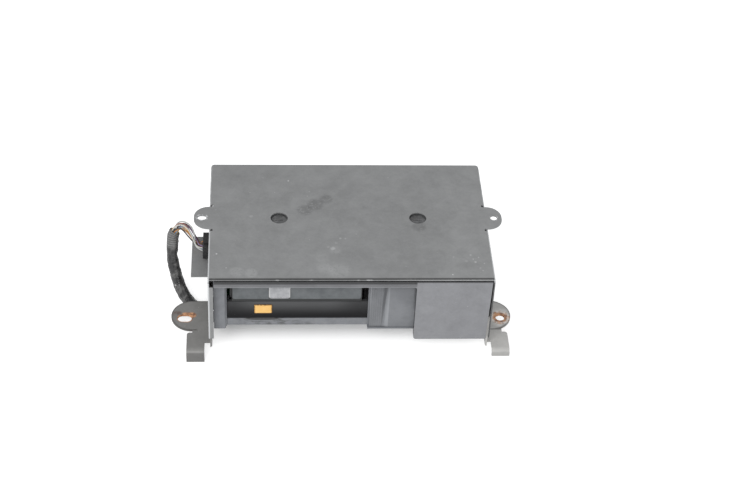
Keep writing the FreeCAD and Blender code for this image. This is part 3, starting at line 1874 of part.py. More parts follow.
# the pinion shows a gap to the gear: the gear's own tooth nearest their line sets its phase
toward_pinion = 180 + number("mesh_angle")
gear_step = 360 / number("gear_teeth")
pinion_step = 360 / number("pinion_teeth")
off_tooth = (toward_pinion - 90) % gear_step
pinion_angle = toward_pinion - 180 + pinion_step / 2 + off_tooth * number("gear_teeth / pinion_teeth")
solid, place = gear_solid(
    int(number("pinion_teeth")),
    pinion_angle,
    gear_start,
    number(PINION_Y),
    number(PINION_Z),
    number("gear_width"),
    number("shaft_radius"),
)
pinion = feature("motor_pinion_ring", solid, place)
node(
    "motor_pinion",
    joined(
        "motor_pinion_joined",
        pinion,
        rod(
            "motor_shaft",
            ("gear_plate_x - 4", PINION_Y, PINION_Z),
            "x",
            "cam_x + cam_steel / 2 + gear_width / 2 - gear_plate_x + 4",
            "shaft_radius",
        ),
    ),
)
cam_plate = block(
    "cam_plate_block",
    ("cam_x", "cam_front", "cam_low"),
    ("cam_x + cam_steel", "cam_back", "cam_top"),
)
SLOT = "((pin_radius + pin_gap) * 0.7071)"
cam_slots = []
for i, y in enumerate(("pin_front", "pin_back")):
    cam_slots.append(
        outline(
            f"cam_slot_{i}",
            "YZ",
            [
                (f"{y} - {SLOT}", f"pin_z + {SLOT}"),
                (f"{y} + {SLOT}", f"pin_z - {SLOT}"),
                (f"{y} + lift_travel + {SLOT}", f"pin_z + lift_travel - {SLOT}"),
                (f"{y} + lift_travel - {SLOT}", f"pin_z + lift_travel + {SLOT}"),
            ],
            "cam_x - 1",
            "cam_steel + 2",
        )
    )
    for end, add in (("low", "0"), ("high", "lift_travel")):
        cam_slots.append(
            rod(
                f"cam_slot_{i}_{end}",
                ("cam_x - 1", f"{y} + {add}", f"pin_z + {add}"),
                "x",
                "cam_steel + 2",
                "pin_radius + pin_gap",
            )
        )
rack_teeth = []
slope = math.tan(math.radians(20))
for i in range(-4, 17):
    middle = f"(gear_y + ({i} + 0.5) * {PITCH})"
    root = f"({PITCH} / 4 + {1.25 * slope} * gear_module - backlash / 4)"
    tip = f"({PITCH} / 4 - {slope} * gear_module - backlash / 4)"
    rack_teeth.append(
        outline(
            f"rack_tooth_{i + 5}",
            "YZ",
            [
                (f"{middle} - {root}", "cam_low"),
                (f"{middle} - {tip}", f"{RACK_LINE} - gear_module"),
                (f"{middle} + {tip}", f"{RACK_LINE} - gear_module"),
                (f"{middle} + {root}", "cam_low"),
            ],
            "cam_x",
            "cam_steel",
        )
    )
node("lift_cam", cut("cam_cut", joined("cam_joined", cam_plate, *rack_teeth), *cam_slots))
gear_plate = block(
    "gear_plate_block",
    ("gear_plate_x", "gear_y - 16", "frame_low"),
    ("gear_plate_x + gear_plate_steel", "gear_y + 8", f"{GEAR_Z} + 5"),
)
gear_foot = block(
    "gear_foot",
    ("gear_plate_x - 8", "gear_y - 2", FRAME_TOP),
    ("gear_plate_x + gear_plate_steel", "gear_y + 8", f"{FRAME_TOP} + gear_plate_steel"),
)
gear_post = rod(
    "gear_post",
    ("gear_plate_x", "gear_y", GEAR_Z),
    "x",
    "cam_x + cam_steel / 2 + gear_width / 2 - gear_plate_x + 0.6",
    "shaft_radius",
)
motor_hole = rod(
    "gear_plate_hole",
    ("gear_plate_x - 1", PINION_Y, PINION_Z),
    "x",
    "5",
    "shaft_radius * 2.4",
)
node(
    "gear_plate",
    cut("gear_plate_cut", joined("gear_plate_joined", gear_plate, gear_foot, gear_post), motor_hole),
)
node(
    "lift_motor",
    cut(
        "lift_motor_cut",
        rod(
            "lift_motor_can",
            ("gear_plate_x - lift_motor_length", PINION_Y, PINION_Z),
            "x",
            "lift_motor_length",
            "lift_motor_radius",
        ),
        rod(
            "lift_motor_bore",
            ("gear_plate_x - 5", PINION_Y, PINION_Z),
            "x",
            "10",
            "shaft_radius + running_gap",
        ),
    ),
)
rail_channel = cut(
    "cam_rail_cut",
    block(
        "cam_rail_block",
        ("cam_x - slide_gap - 1.2", "cam_front + 16", "cam_top - 3.6"),
        (f"{UNIT_HALF} - base_steel", "cam_front + 56", "cam_top + 2"),
    ),
    block(
        "cam_rail_groove",
        ("cam_x - slide_gap", "cam_front + 15", "cam_top - 4"),
        ("cam_x + cam_steel + slide_gap", "cam_front + 57", "cam_top + slide_gap"),
    ),
)
node("cam_rail", rail_channel)


# ---- vehicle harness: a fan of wires out of the plug, then a taped loom ------------------------------
def cord_solid(name, points, radius):
    """A tube of straight runs joined by tangent arcs, each as large as its two runs allow."""
    shift = Vector(*(number(ORIGIN[axis]) for axis in "xyz"))
    route = [Vector(*point) + shift for point in points]
    edges = []
    start = route[0]
    radii = []
    for before, corner, after in zip(route, route[1:], route[2:]):
        arriving = (corner - before).normalize()
        leaving = (after - corner).normalize()
        turn = arriving.getAngle(leaving)
        reach = 0.45 * min(before.distanceToPoint(corner), corner.distanceToPoint(after))
        bend = reach / math.tan(turn / 2)
        radii.append(round(bend, 1))
        first = corner - arriving * reach
        last = corner + leaving * reach
        inward = (leaving - arriving).normalize()
        middle = corner + inward * (bend / math.cos(turn / 2) - bend)
        edges.append(Part.LineSegment(start, first).toShape())
        edges.append(Part.Arc(first, middle, last).toShape())
        start = last
    edges.append(Part.LineSegment(start, route[-1]).toShape())
    path = Part.Wire(edges)
    way = (route[1] - route[0]).normalize()
    ring = Part.Wire(Part.makeCircle(radius, route[0], way))
    tube = path.makePipeShell([ring], True, False, 2)
    expected = math.pi * radius * radius * path.Length
    print(f"{name}: length {path.Length:.1f}, radii {radii}, volume ratio {tube.Volume / expected:.4f}")
    made = document.addObject("Part::Feature", name)
    made.Shape = tube
    return made


BUNDLE_ROUTE = [
    (-147, 95, 66),
    (-151.2, 95, 66),
    (-155, 99.6, 68.6),
    (-158.8, 105.8, 72.6),
    (-163.3, 111, 76.2),
    (-168.6, 114, 77.4),
    (-173.44, 114.62, 74.4),
    (-176.2, 113.9, 69.6),
]
LOOM_ROUTE = [
    (-176.2, 113.9, 69.6),
    (-178.5, 113.3, 65.6),
    (-179.6, 109.6, 55.2),
    (-179.2, 105.2, 44),
    (-177.6, 100.6, 33.6),
    (-175.2, 95.6, 24.5),
    (-172.2, 90.2, 16.6),
    (-168.4, 84.6, 10.6),
    (-163.4, 77.6, 6.8),
    (-157, 69.6, 5.7),
    (-149.4, 61.6, 5.7),
    (-139.4, 55.2, 5.7),
    (-126.6, 52.4, 5.7),
    (-112, 54, 5.7),
    (-97, 60.6, 5.7),
    (-82, 69.6, 5.7),
    (-67, 78, 6.1),
    (-53, 83.6, 6.8),
    (-42, 85.4, 7.1),
    (-30, 85.4, 7.1),
]
document.recompute()
node("wire_bundle", cord_solid("wire_bundle_tube", BUNDLE_ROUTE, number("bundle_radius")))
node("harness_loom", cord_solid("harness_loom_tube", LOOM_ROUTE, number("loom_radius")))
end_x, end_y, end_z = LOOM_ROUTE[-1]
end_housing = block(
    "end_housing",
    (end_x, f"{end_y} - end_plug_width / 2", "0.2"),
    (f"{end_x} + end_plug_length", f"{end_y} + end_plug_width / 2", "end_plug_height"),
)
end_cavity = block(
    "end_cavity",
    (f"{end_x} + end_plug_length - 12", f"{end_y} - end_plug_width / 2 + 1.6", "1.8"),
    (f"{end_x} + end_plug_length + 1", f"{end_y} + end_plug_width / 2 - 1.6", "end_plug_height - 1.6"),
)
node("harness_plug", cut("harness_plug_cut", end_housing, end_cavity))

# ---- checks and export ---------------------------------------------------------------------------------
document.recompute()
broken = [o.Name for o in document.Objects if {"Invalid", "Error"} & set(o.State)]
if broken:
    raise RuntimeError(f"not computed: {broken}")
for solid in nodes:
    if solid.Shape.isNull() or not solid.Shape.isValid():
        raise RuntimeError(f"{solid.Label} has no valid shape")
os.makedirs("parts", exist_ok=True)
for solid in nodes:
    solid.Shape.exportStep(f"parts/{solid.Label}.step")
    print(f"{solid.Label}: {len(solid.Shape.Solids)} solids, {solid.Shape.Volume / 1000:.2f} cm3")
print(f"{len(nodes)} nodes")
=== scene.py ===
import json
import math

import bpy
import numpy as np
from mathutils import Matrix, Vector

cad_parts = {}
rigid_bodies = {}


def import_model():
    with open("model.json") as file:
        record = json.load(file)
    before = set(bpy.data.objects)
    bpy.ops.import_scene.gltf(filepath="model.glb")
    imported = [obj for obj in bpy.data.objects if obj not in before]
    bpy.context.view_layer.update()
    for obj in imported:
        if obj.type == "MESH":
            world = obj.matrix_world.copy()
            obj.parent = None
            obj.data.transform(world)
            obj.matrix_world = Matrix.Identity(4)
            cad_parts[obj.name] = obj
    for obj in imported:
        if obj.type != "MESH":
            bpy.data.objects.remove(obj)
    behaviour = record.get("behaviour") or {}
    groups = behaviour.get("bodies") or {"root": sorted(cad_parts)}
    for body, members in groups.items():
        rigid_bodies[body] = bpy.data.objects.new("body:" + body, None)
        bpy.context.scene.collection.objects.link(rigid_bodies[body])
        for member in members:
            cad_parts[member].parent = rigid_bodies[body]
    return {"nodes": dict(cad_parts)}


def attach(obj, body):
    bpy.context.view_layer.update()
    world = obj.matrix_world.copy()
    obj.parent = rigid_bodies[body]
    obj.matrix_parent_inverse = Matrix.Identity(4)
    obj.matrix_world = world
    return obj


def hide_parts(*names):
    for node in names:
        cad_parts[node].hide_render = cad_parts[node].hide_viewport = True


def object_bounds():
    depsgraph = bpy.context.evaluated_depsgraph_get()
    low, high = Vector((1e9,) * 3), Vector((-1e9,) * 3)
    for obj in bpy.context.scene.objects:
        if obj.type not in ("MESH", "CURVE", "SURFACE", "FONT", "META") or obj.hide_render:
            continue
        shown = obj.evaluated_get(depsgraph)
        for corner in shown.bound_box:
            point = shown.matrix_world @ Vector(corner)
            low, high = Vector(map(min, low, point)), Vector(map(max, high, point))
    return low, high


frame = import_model()
cad_box = [list(corner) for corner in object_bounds()]
bpy.context.scene.view_settings.view_transform = "Standard"


# Camera: a long lens that looks down on the front from a little to the left, leaning slightly.
# Places all through are millimetres from the middle of the shield's front at floor level.
def spot(x, y, z):
    """A place in the frame's metres: the shield's own millimetres moved by a fixed step."""
    return np.array([x + 5.7, y - 86.75, z]) / 1000


def camera_turn(azimuth, elevation, roll):
    """The camera's right, up and back directions.

    Two angles give back, and the roll turns the other two about it.
    """
    a, e, r = np.radians([azimuth, elevation, roll])
    back = np.array([np.sin(a) * np.cos(e), -np.cos(a) * np.cos(e), np.sin(e)])
    level = np.cross(-back, [0, 0, 1])
    level /= np.linalg.norm(level)
    above = np.cross(back, level)
    return np.array([np.cos(r) * level + np.sin(r) * above, np.cos(r) * above - np.sin(r) * level, back]).T


lens = bpy.data.cameras.new("camera")
lens.sensor_width = 36
lens.lens = 84.22
lens.clip_start, lens.clip_end = 0.05, 30
camera = bpy.data.objects.new("camera", lens)
place = np.eye(4)
place[:3, :3] = camera_turn(-5.146, 40.805, 3.359)
place[:3, 3] = spot(-93.66, -1263.74, 1237.76)
camera.matrix_world = Matrix(place)
bpy.context.collection.objects.link(camera)
bpy.context.scene.camera = camera


# Finishes: every material is worked out by nodes from the place on the piece, in metres.
# Shade is one number over a surface, and Finish gathers the nodes of one material.
class Shade:
    """A number at each point of a surface; arithmetic on it adds Math nodes."""

    def __init__(self, finish, socket):
        self.finish, self.socket = finish, socket

    def math(self, operation, *values):
        return self.finish.node("ShaderNodeMath", {"operation": operation}, dict(enumerate(values)))

    def __add__(self, other):
        return self.math("ADD", self, other)

    def __sub__(self, other):
        return self.math("SUBTRACT", self, other)

    def __rsub__(self, other):
        return self.math("SUBTRACT", other, self)

    def __mul__(self, other):
        return self.math("MULTIPLY", self, other)

    def __pow__(self, other):
        return self.math("POWER", self, other)

    def __or__(self, other):
        return self.math("MAXIMUM", self, other)

    def __abs__(self):
        return self.math("ABSOLUTE", self)

    __radd__ = __add__
    __rmul__ = __mul__

    def wave(self):
        """A sine of the number in radians, brought between 0 and 1."""
        return self.math("SINE", self) * 0.5 + 0.5

    def part(self):
        """What is left of the number above its whole part."""
        return self.math("FRACT", self)

    def rise(self, low, high):
        """0 below low and 1 above high, with a smooth step between; low above high turns it round."""
        settings = {"interpolation_type": "SMOOTHSTEP"}
        sockets = {"Value": self, "From Min": low, "From Max": high}
        return self.finish.node("ShaderNodeMapRange", settings, sockets)


class Finish:
    """A material in the making. Colours and the shader are set last, by coat."""

    def __init__(self, name):
        self.material = bpy.data.materials.new(name)
        self.material.use_nodes = True
        self.tree = self.material.node_tree
        self.tree.nodes.clear()
        self.where = self.node("ShaderNodeTexCoord", out="Object")
        self.x, self.y, self.z = (self.along_axis(axis) for axis in "XYZ")

    def along_axis(self, axis):
        """The place along one axis, in metres."""
        return self.node("ShaderNodeSeparateXYZ", {}, {0: self.where}, axis)

    def right_of(self, x):
        """Metres to the right of a place that lies x millimetres from the shield's middle."""
        return self.x - spot(x, 0, 0)[0]

    def behind(self, y):
        """Metres behind a place that lies y millimetres from the shield's front."""
        return self.y - spot(0, y, 0)[1]

    def node(self, kind, settings=None, sockets=None, out=0):
        """Adds a node: its settings, then its sockets by name, identifier or number, as values or links."""
        made = self.tree.nodes.new(kind)
        for key, value in (settings or {}).items():
            setattr(made, key, value)
        for key, value in (sockets or {}).items():
            known = {s.identifier: s for s in made.inputs}
            socket = made.inputs[key] if isinstance(key, int) else known.get(key) or made.inputs[key]
            if isinstance(value, Shade):
                self.tree.links.new(value.socket, socket)
            else:
                socket.default_value = (*value, 1) if socket.type == "RGBA" and len(value) == 3 else value
        known = {s.identifier: s for s in made.outputs}
        socket = made.outputs[out] if isinstance(out, int) else known.get(out) or made.outputs[out]
        return Shade(self, socket)

    def noise(self, scale, detail=3.0, roughness=0.55, warp=0.0, where=None):
        """Cloudy values about 0.5; scale is in waves per metre."""
        sockets = {"Vector": where or self.where, "Scale": scale, "Detail": detail}
        return self.node("ShaderNodeTexNoise", {}, {**sockets, "Roughness": roughness, "Distortion": warp})

    def specks(self, scale, size, keep=1.0):
        """1 inside scattered round specks, near the middle of random cells; keep is the share of cells."""
        cell = {"Vector": self.where, "Scale": scale}
        near = self.node("ShaderNodeTexVoronoi", {}, cell, "Distance").rise(size, size * 0.4)
        drawn = self.node("ShaderNodeTexVoronoi", {}, cell, "Color")
        lot = self.node("ShaderNodeSeparateColor", {}, {0: drawn}, 0)
        return near * lot.rise(keep + 0.01, keep)

    def stretched(self, x, y, z):
        """The place with each axis scaled: a pattern is drawn out along the axis with the small number."""
        return self.node("ShaderNodeMapping", {}, {"Vector": self.where, "Scale": (x, y, z)})

    def ring(self, x, y, radius, half=0):
        """Metres outside an upright round hole, or outside a slot along x.

        A slot's round ends have their centres half a length away on each side.
        """
        across = (abs(self.right_of(x)) - half / 1000) | 0.0
        return (across**2 + self.behind(y) ** 2) ** 0.5 - radius / 1000

    def mix(self, low, high, share):
        """Blends two colours; share is 0 for the first and 1 for the second."""
        sockets = {"Factor_Float": share, "A_Color": low, "B_Color": high}
        return self.node("ShaderNodeMix", {"data_type": "RGBA"}, sockets, "Result_Color")

    def coat(self, colour, roughness, height=None, depth=0.0002, **fixed):
        """Ends the material in a Principled shader: colour and roughness may vary, the rest is fixed."""
        sockets = {"Base Color": colour, "Roughness": roughness}
        sockets.update({key.replace("_", " "): value for key, value in fixed.items()})
        if height is not None:
            bump = {"Height": height, "Distance": depth, "Strength": 1.0}
            sockets["Normal"] = self.node("ShaderNodeBump", {}, bump)
        shader = self.node("ShaderNodeBsdfPrincipled", {}, sockets)
        self.end(shader)
        return self.material

    def end(self, shader):
        """Joins the shader to the material's output."""
        output = self.tree.nodes.new("ShaderNodeOutputMaterial")
        self.tree.links.new(shader.socket, output.inputs["Surface"])


# Floor and light: a plain white table under an even studio sky, with one broad lamp that stands
# in front. The floor shows white to the camera away from the part, and keeps the soft shadow of
# the part, which a painted shadow deepens near it.
def white_floor():
    """White paper: it scatters light, and adds some of its own only where it is seen directly or mirrored.

    Its own light dims to grey near and beneath the part: a painted shadow that deepens the real one.
    """
    floor = Finish("floor_paper")
    seen = floor.node("ShaderNodeLightPath", out="Is Camera Ray")
    mirrored = floor.node("ShaderNodeLightPath", out="Is Glossy Ray")
    paper = floor.node("ShaderNodeBsdfDiffuse", {}, {"Color": (0.8, 0.8, 0.8)})
    beside = (abs(floor.right_of(0)) - 0.115) | 0.0
    before = (abs(floor.behind(90)) - 0.04) | 0.0
    beyond = (beside**2 + before**2) ** 0.5
    # painted shadow: the floor's own light is grey near and beneath the part, white away from it
    painted_shadow_glow = floor.mix((0.226, 0.226, 0.226), (1, 1, 1), beyond.rise(0.002, 0.036))
    glow = floor.node("ShaderNodeEmission", {}, {"Color": painted_shadow_glow, "Strength": 0.62 * (seen | mirrored)})
    floor.end(floor.node("ShaderNodeAddShader", {}, {0: paper, 1: glow}))
    return floor.material


table = bpy.data.meshes.new("floor")
TABLE_HALF, TABLE_TOP = 6, -0.0004
table_signs = ((-1, -1), (1, -1), (1, 1), (-1, 1))
table_corners = [(x * TABLE_HALF, y * TABLE_HALF, TABLE_TOP) for x, y in table_signs]
table.from_pydata(table_corners, [], [(0, 1, 2, 3)])
table.materials.append(white_floor())
floor = bpy.data.objects.new("floor", table)
bpy.context.collection.objects.link(floor)

sky = bpy.data.worlds.new("sky")
sky.use_nodes = True
sky_nodes = sky.node_tree.nodes
sky_nodes.clear()
straight = sky_nodes.new("ShaderNodeLightPath")
sky_light = sky_nodes.new("ShaderNodeBackground")
sky_light.inputs["Color"].default_value = (0.98, 0.99, 1.0, 1)
sky_light.inputs["Strength"].default_value = 0.62
backdrop = sky_nodes.new("ShaderNodeBackground")
backdrop.inputs["Color"].default_value = (1, 1, 1, 1)
choice = sky_nodes.new("ShaderNodeMixShader")
sky_out = sky_nodes.new("ShaderNodeOutputWorld")
for source, target in (
    (straight.outputs["Is Camera Ray"], choice.inputs[0]),
    (sky_light.outputs[0], choice.inputs[1]),
    (backdrop.outputs[0], choice.inputs[2]),
    (choice.outputs[0], sky_out.inputs["Surface"]),
):
    sky.node_tree.links.new(source, target)
bpy.context.scene.world = sky

lamp = bpy.data.lights.new("softbox", "AREA")
lamp.shape = "RECTANGLE"
lamp.size, lamp.size_y = 1.5, 1.1
lamp.energy = 25
softbox = bpy.data.objects.new("softbox", lamp)
softbox.location = (-0.55, -1.6, 1.45)
softbox.rotation_euler = (math.radians(48), 0, math.radians(-19))
bpy.context.collection.objects.link(softbox)


# Harness: eleven thin wires leave the plug in two rows, arch up together and go down into a
# loom bound with black cloth tape. The loom drops to the floor, goes under the left foot and the
# changer, and ends in its own connector.
WIRE_ROUTE = [
    (-147, 95, 66),
    (-151.2, 95, 66),
    (-155, 99.6, 68.6),
    (-158.8, 105.8, 72.6),
    (-163.3, 111, 76.2),
    (-168.6, 114, 77.4),
    (-173.44, 114.62, 74.4),
    (-176.2, 113.9, 69.6),
]
LOOM_ROUTE = [
    (-176.2, 113.9, 69.6),
    (-178.5, 113.3, 65.6),
    (-179.6, 109.6, 55.2),
    (-179.2, 105.2, 44),
    (-177.6, 100.6, 33.6),
    (-175.2, 95.6, 24.5),
    (-172.2, 90.2, 16.6),
    (-168.4, 84.6, 10.6),
    (-163.4, 77.6, 6.8),
    (-157, 69.6, 5.7),
    (-149.4, 61.6, 5.7),
    (-139.4, 55.2, 5.7),
    (-126.6, 52.4, 5.7),
    (-112, 54, 5.7),
    (-97, 60.6, 5.7),
    (-82, 69.6, 5.7),
    (-67, 78, 6.1),
    (-53, 83.6, 6.8),
    (-42, 85.4, 7.1),
    (-30, 85.4, 7.1),
]


def cord_line(name, route, step):
    """Even points on a cord's line: a NURBS spline of order 3 through the route's pull, spaced by length."""
    curve = bpy.data.curves.new(name, "CURVE")
    curve.dimensions = "3D"
    curve.resolution_u = 24
    spline = curve.splines.new("NURBS")
    spline.points.add(len(route) - 1)
    for point, stop in zip(spline.points, route):
        point.co = (*spot(*stop), 1)
    spline.order_u = 3
    spline.use_endpoint_u = True
    holder = bpy.data.objects.new(name, curve)
    drawn = bpy.data.meshes.new_from_object(holder)
    points = np.array([v.co for v in drawn.vertices])
    for made, kept in ((holder, bpy.data.objects), (drawn, bpy.data.meshes), (curve, bpy.data.curves)):
        kept.remove(made)
    along = np.r_[0, np.cumsum(np.linalg.norm(np.diff(points, axis=0), axis=1))]
    even = np.linspace(0, along[-1], max(int(along[-1] / step), 8))
    return np.stack([np.interp(even, along, points[:, k]) for k in range(3)], 1), even


def cross_axes(line):
    """Two unit directions across a line at each point: one square to it and to y, one square to both."""
    ahead = np.gradient(line, axis=0)
    ahead /= np.linalg.norm(ahead, axis=1)[:, None]
    side = np.cross(ahead, [0, 1, 0])
    side /= np.linalg.norm(side, axis=1)[:, None]
    return side, np.cross(side, ahead)


def piece(name, points, faces, finish, body, smooth=True):
    """A named piece from corners and faces, with its finish, riding on a body."""
    mesh = bpy.data.meshes.new(name)
    mesh.from_pydata([tuple(p) for p in np.asarray(points).tolist()], [], [tuple(f) for f in faces])
    mesh.validate()
    mesh.shade_smooth() if smooth else mesh.shade_flat()
    mesh.materials.append(finish)
    made = bpy.data.objects.new(name, mesh)
    bpy.context.collection.objects.link(made)
    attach(made, body)
    return made


def grid_faces(rows, columns, closed=True, start=0):
    """Quads between neighbouring rows of a grid of points; closed joins the last column to the first."""
    r, c = np.meshgrid(np.arange(rows - 1), np.arange(columns if closed else columns - 1), indexing="ij")
    a, b = r * columns + c, r * columns + (c + 1) % columns
    return (start + np.stack([a, b, b + columns, a + columns], -1).reshape(-1, 4)).tolist()


def wire_finish():
    """Thin insulation: each wire's colour comes with the mesh, a little dusty."""
    wire = Finish("wire_insulation")
    own = wire.node("ShaderNodeAttribute", {"attribute_name": "insulation"}, {}, "Color")
    dust = wire.noise(700, 2).rise(0.45, 0.8)
    return wire.coat(wire.mix(own, (0.36, 0.34, 0.31), dust * 0.35), 0.42 + dust * 0.25)


# colour of each wire, its place across the plug in mm, its row, and the way that it bows out
WIRES = [
    ((0.50, 0.47, 0.43), -6.6, 1.3, -2.9, 1.9),
    ((0.50, 0.24, 0.09), -5.3, -1.5, -1.6, 1.1),
    ((0.72, 0.38, 0.09), -4.0, 1.4, -0.8, 2.9),
    ((0.10, 0.045, 0.03), -2.7, -1.3, 2.6, 1.6),
    ((0.80, 0.55, 0.18), -1.4, 1.5, 1.3, -0.5),
    ((0.05, 0.045, 0.04), -0.1, -1.6, -2.2, 3.0),
    ((0.36, 0.16, 0.13), 1.2, 1.3, 0.4, 2.0),
    ((0.24, 0.17, 0.30), 2.5, -1.4, 2.9, 0.3),
    ((0.26, 0.38, 0.55), 3.8, 1.5, 1.6, -2.4),
    ((0.62, 0.62, 0.58), 5.1, -1.3, -1.5, -1.3),
    ((0.52, 0.53, 0.52), 6.4, 1.2, 0.3, -3.1),
]
loom_line, loom_along = cord_line("loom_line", LOOM_ROUTE, 0.0008)
wire_line, wire_along = cord_line("wire_line", WIRE_ROUTE, 0.0008)
# the wires go on a little way inside the tape
u = np.r_[wire_along / wire_along[-1], np.ones(13)]
wire_line = np.concatenate([wire_line, loom_line[1:14]])
side, rise = cross_axes(wire_line)
gathered = np.clip(u / 0.75, 0, 1) ** 0.8
wire_points, wire_faces, wire_colours = [], [], []
round_wire = np.linspace(0, 2 * np.pi, 10, endpoint=False)
for k, (colour, across, layer, bow_across, bow_up) in enumerate(WIRES):
    # each wire's middle goes from its place in the plug to a place in the round bundle, bowing between
    turn = 2 * np.pi * k / len(WIRES) * 3 + 1.6 * u
    packed = 2.9 if k else 0.2
    a = layer * (1 - gathered) + packed * np.sin(turn) * gathered + bow_up * np.sin(np.pi * u) ** 1.3
    b = -across * (1 - gathered) + packed * np.cos(turn) * gathered + bow_across * np.sin(np.pi * u) ** 1.3
    middle = wire_line + (side * a[:, None] + rise * b[:, None]) / 1000
    s2, r2 = cross_axes(middle)
    skin = middle[:, None] + 0.00072 * (
        np.cos(round_wire)[None, :, None] * s2[:, None] + np.sin(round_wire)[None, :, None] * r2[:, None]
    )
    first = len(wire_points) * len(u) * len(round_wire)
    wire_points.append(skin.reshape(-1, 3))
    wire_faces += grid_faces(len(u), len(round_wire), True, first)
    ends = [range(first, first + 10), range(first + (len(u) - 1) * 10, first + len(u) * 10)]
    wire_faces += [list(reversed(ends[0])), list(ends[1])]
    wire_colours += [(*colour, 1.0)] * len(wire_points[-1])
wires = piece("harness_wires", np.concatenate(wire_points), wire_faces, wire_finish(), "housing")
tint = wires.data.color_attributes.new("insulation", "FLOAT_COLOR", "POINT")
tint.data.foreach_set("color", np.array(wire_colours, np.float32).ravel())
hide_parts("wire_bundle")


def tape_finish():
    """Black cloth tape: grey with dust on top, shiny where it is pulled tight, with pale painted highlights
    on the shine, wrinkled across the loom.

    The first turns are bare grey cloth, ribbed across.
    """
    tape = Finish("loom_tape")
    uv = tape.node("ShaderNodeUVMap", {"uv_map": "along"})
    along = tape.node("ShaderNodeSeparateXYZ", {}, {0: uv}, "X")
    stretch = tape.node("ShaderNodeMapping", {}, {"Vector": uv, "Scale": (420, 3.0, 1)})
    wrinkle = tape.noise(1.0, 4, 0.6, 0.6, stretch)
    cloth = tape.noise(2600, 1)
    dust = tape.noise(95, 3, 0.6).rise(0.44, 0.68)
    shine = tape.noise(130, 2).rise(0.52, 0.64)
    first = along.rise(0.0185, 0.0165)
    ribs = (along * 2600).wave() * first
    drawn_out = tape.node("ShaderNodeMapping", {}, {"Vector": uv, "Scale": (95, 2.2, 1)})
    rubbed_and_glinting = tape.noise(1, 3, 0.6, 0.4, drawn_out)
    black = tape.mix((0.010, 0.010, 0.011), (0.13, 0.128, 0.125), dust * 0.75)
    # painted highlight: pale grey glints where the tape is shiny
    wear_and_highlight = tape.mix(black, (0.62, 0.62, 0.62), rubbed_and_glinting.rise(0.6, 0.68) * shine)
    grey = tape.mix((0.12, 0.12, 0.12), (0.26, 0.26, 0.255), ribs)
    colour = tape.mix(wear_and_highlight, grey, first * 0.85)
    height = wrinkle * 0.9 + cloth * 0.12 + ribs * 0.5
    return tape.coat(colour, 0.5 - 0.26 * shine + 0.2 * first, height, 0.0009, Specular_IOR_Level=0.7)


# the loom's radius swells and thins, turns lumpy over the wires inside, and steps at each tape edge;
# it is thickest where it hangs, and pressed flat where it touches the floor or would leave the part's box
side, rise = cross_axes(loom_line)
turn = np.linspace(0, 2 * np.pi, 56, endpoint=False)
s, t = np.meshgrid(loom_along * 1000, turn, indexing="ij")
swell = 0.5 * np.sin(s / 8.5 + 0.6) * np.cos(t - s / 30) + 0.35 * np.sin(s / 19 + 2)
swell = swell + 0.3 * np.cos(2 * t + s / 14)
knees = -0.75 * np.exp(-(((s - 27) / 3.2) ** 2)) + 0.5 * np.exp(-(((s - 19.5) / 2.5) ** 2))
strands = 0.26 * np.cos(5 * t - s / 17) + 0.15 * np.cos(9 * t + s / 21 + 1)
lap = (s / 10.5 - t / (2 * np.pi)) % 1.0
lap_step = 0.42 * (1 - lap) * np.clip(lap / 0.05, 0, 1)
crease = 0.2 * np.abs(np.sin(s / 1.7 + 1.5 * np.sin(t * 2 + s / 9))) ** 3 * np.sin(t + s / 13)
neck = -0.5 * np.exp(-s / 1.6)
thick = 0.8 * np.exp(-(((s - 46) / 25) ** 4))
skin_radius = 5.35 + thick + (swell + knees) * np.clip(s / 12, 0.3, 1) + strands + lap_step + crease + neck
floor_gap = loom_line[:, 2:3] * 1000 - 0.25
down = np.clip(-(np.cos(t) * side[:, 2:3] + np.sin(t) * rise[:, 2:3]), 0, 1)
skin_radius = np.where(down > 0.05, np.minimum(skin_radius, floor_gap / np.maximum(down, 0.05)), skin_radius)
skin = loom_line[:, None] + skin_radius[..., None] / 1000 * (
    np.cos(t)[..., None] * side[:, None] + np.sin(t)[..., None] * rise[:, None]
)
skin[..., 0] = np.maximum(skin[..., 0], cad_box[0][0] + 0.0001)
mouth_in = loom_line[3] + (skin[0] - loom_line[0]) * 0.82
points = np.concatenate([mouth_in[None], skin]).reshape(-1, 3)
rows, columns = len(loom_line) + 1, len(turn)
faces = grid_faces(rows, columns)
faces += [list(range(columns))[::-1], list(range((rows - 1) * columns, rows * columns))]
loom = piece("harness_tape", points, faces, tape_finish(), "housing")
uv = loom.data.uv_layers.new(name="along")
corner = np.empty(len(loom.data.loops), int)
loom.data.loops.foreach_get("vertex_index", corner)
along_of = np.r_[0, loom_along][corner // columns]
uv.data.foreach_set("uv", np.stack([along_of, (corner % columns) / columns], 1).ravel())
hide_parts("harness_loom")
spot(-147, 95, 66)
spot(-176.2, 113.9, 69.6)


# Top shield: one sheet of steel bent down at both sides, with an ear cut out of each bend. It is
# sprayed grey, has clouded and gathered dust, and is rubbed to bare metal along its bent edges, which
# also carry painted highlight; painted light and shade lie along its front and side edges too.
def dress(node, finish):
    """Gives a CAD node its finish, in every material slot that it has."""
    for slot in frame["nodes"][node].material_slots:
        slot.material = finish


# the top's height and half the width, in metres
SHIELD_TOP = 0.104
SHIELD_HALF = 0.14
# the holes in the two ears: how far behind the front and out to each side, in millimetres
EAR_BACK = 94
EAR_OUT = 147.4
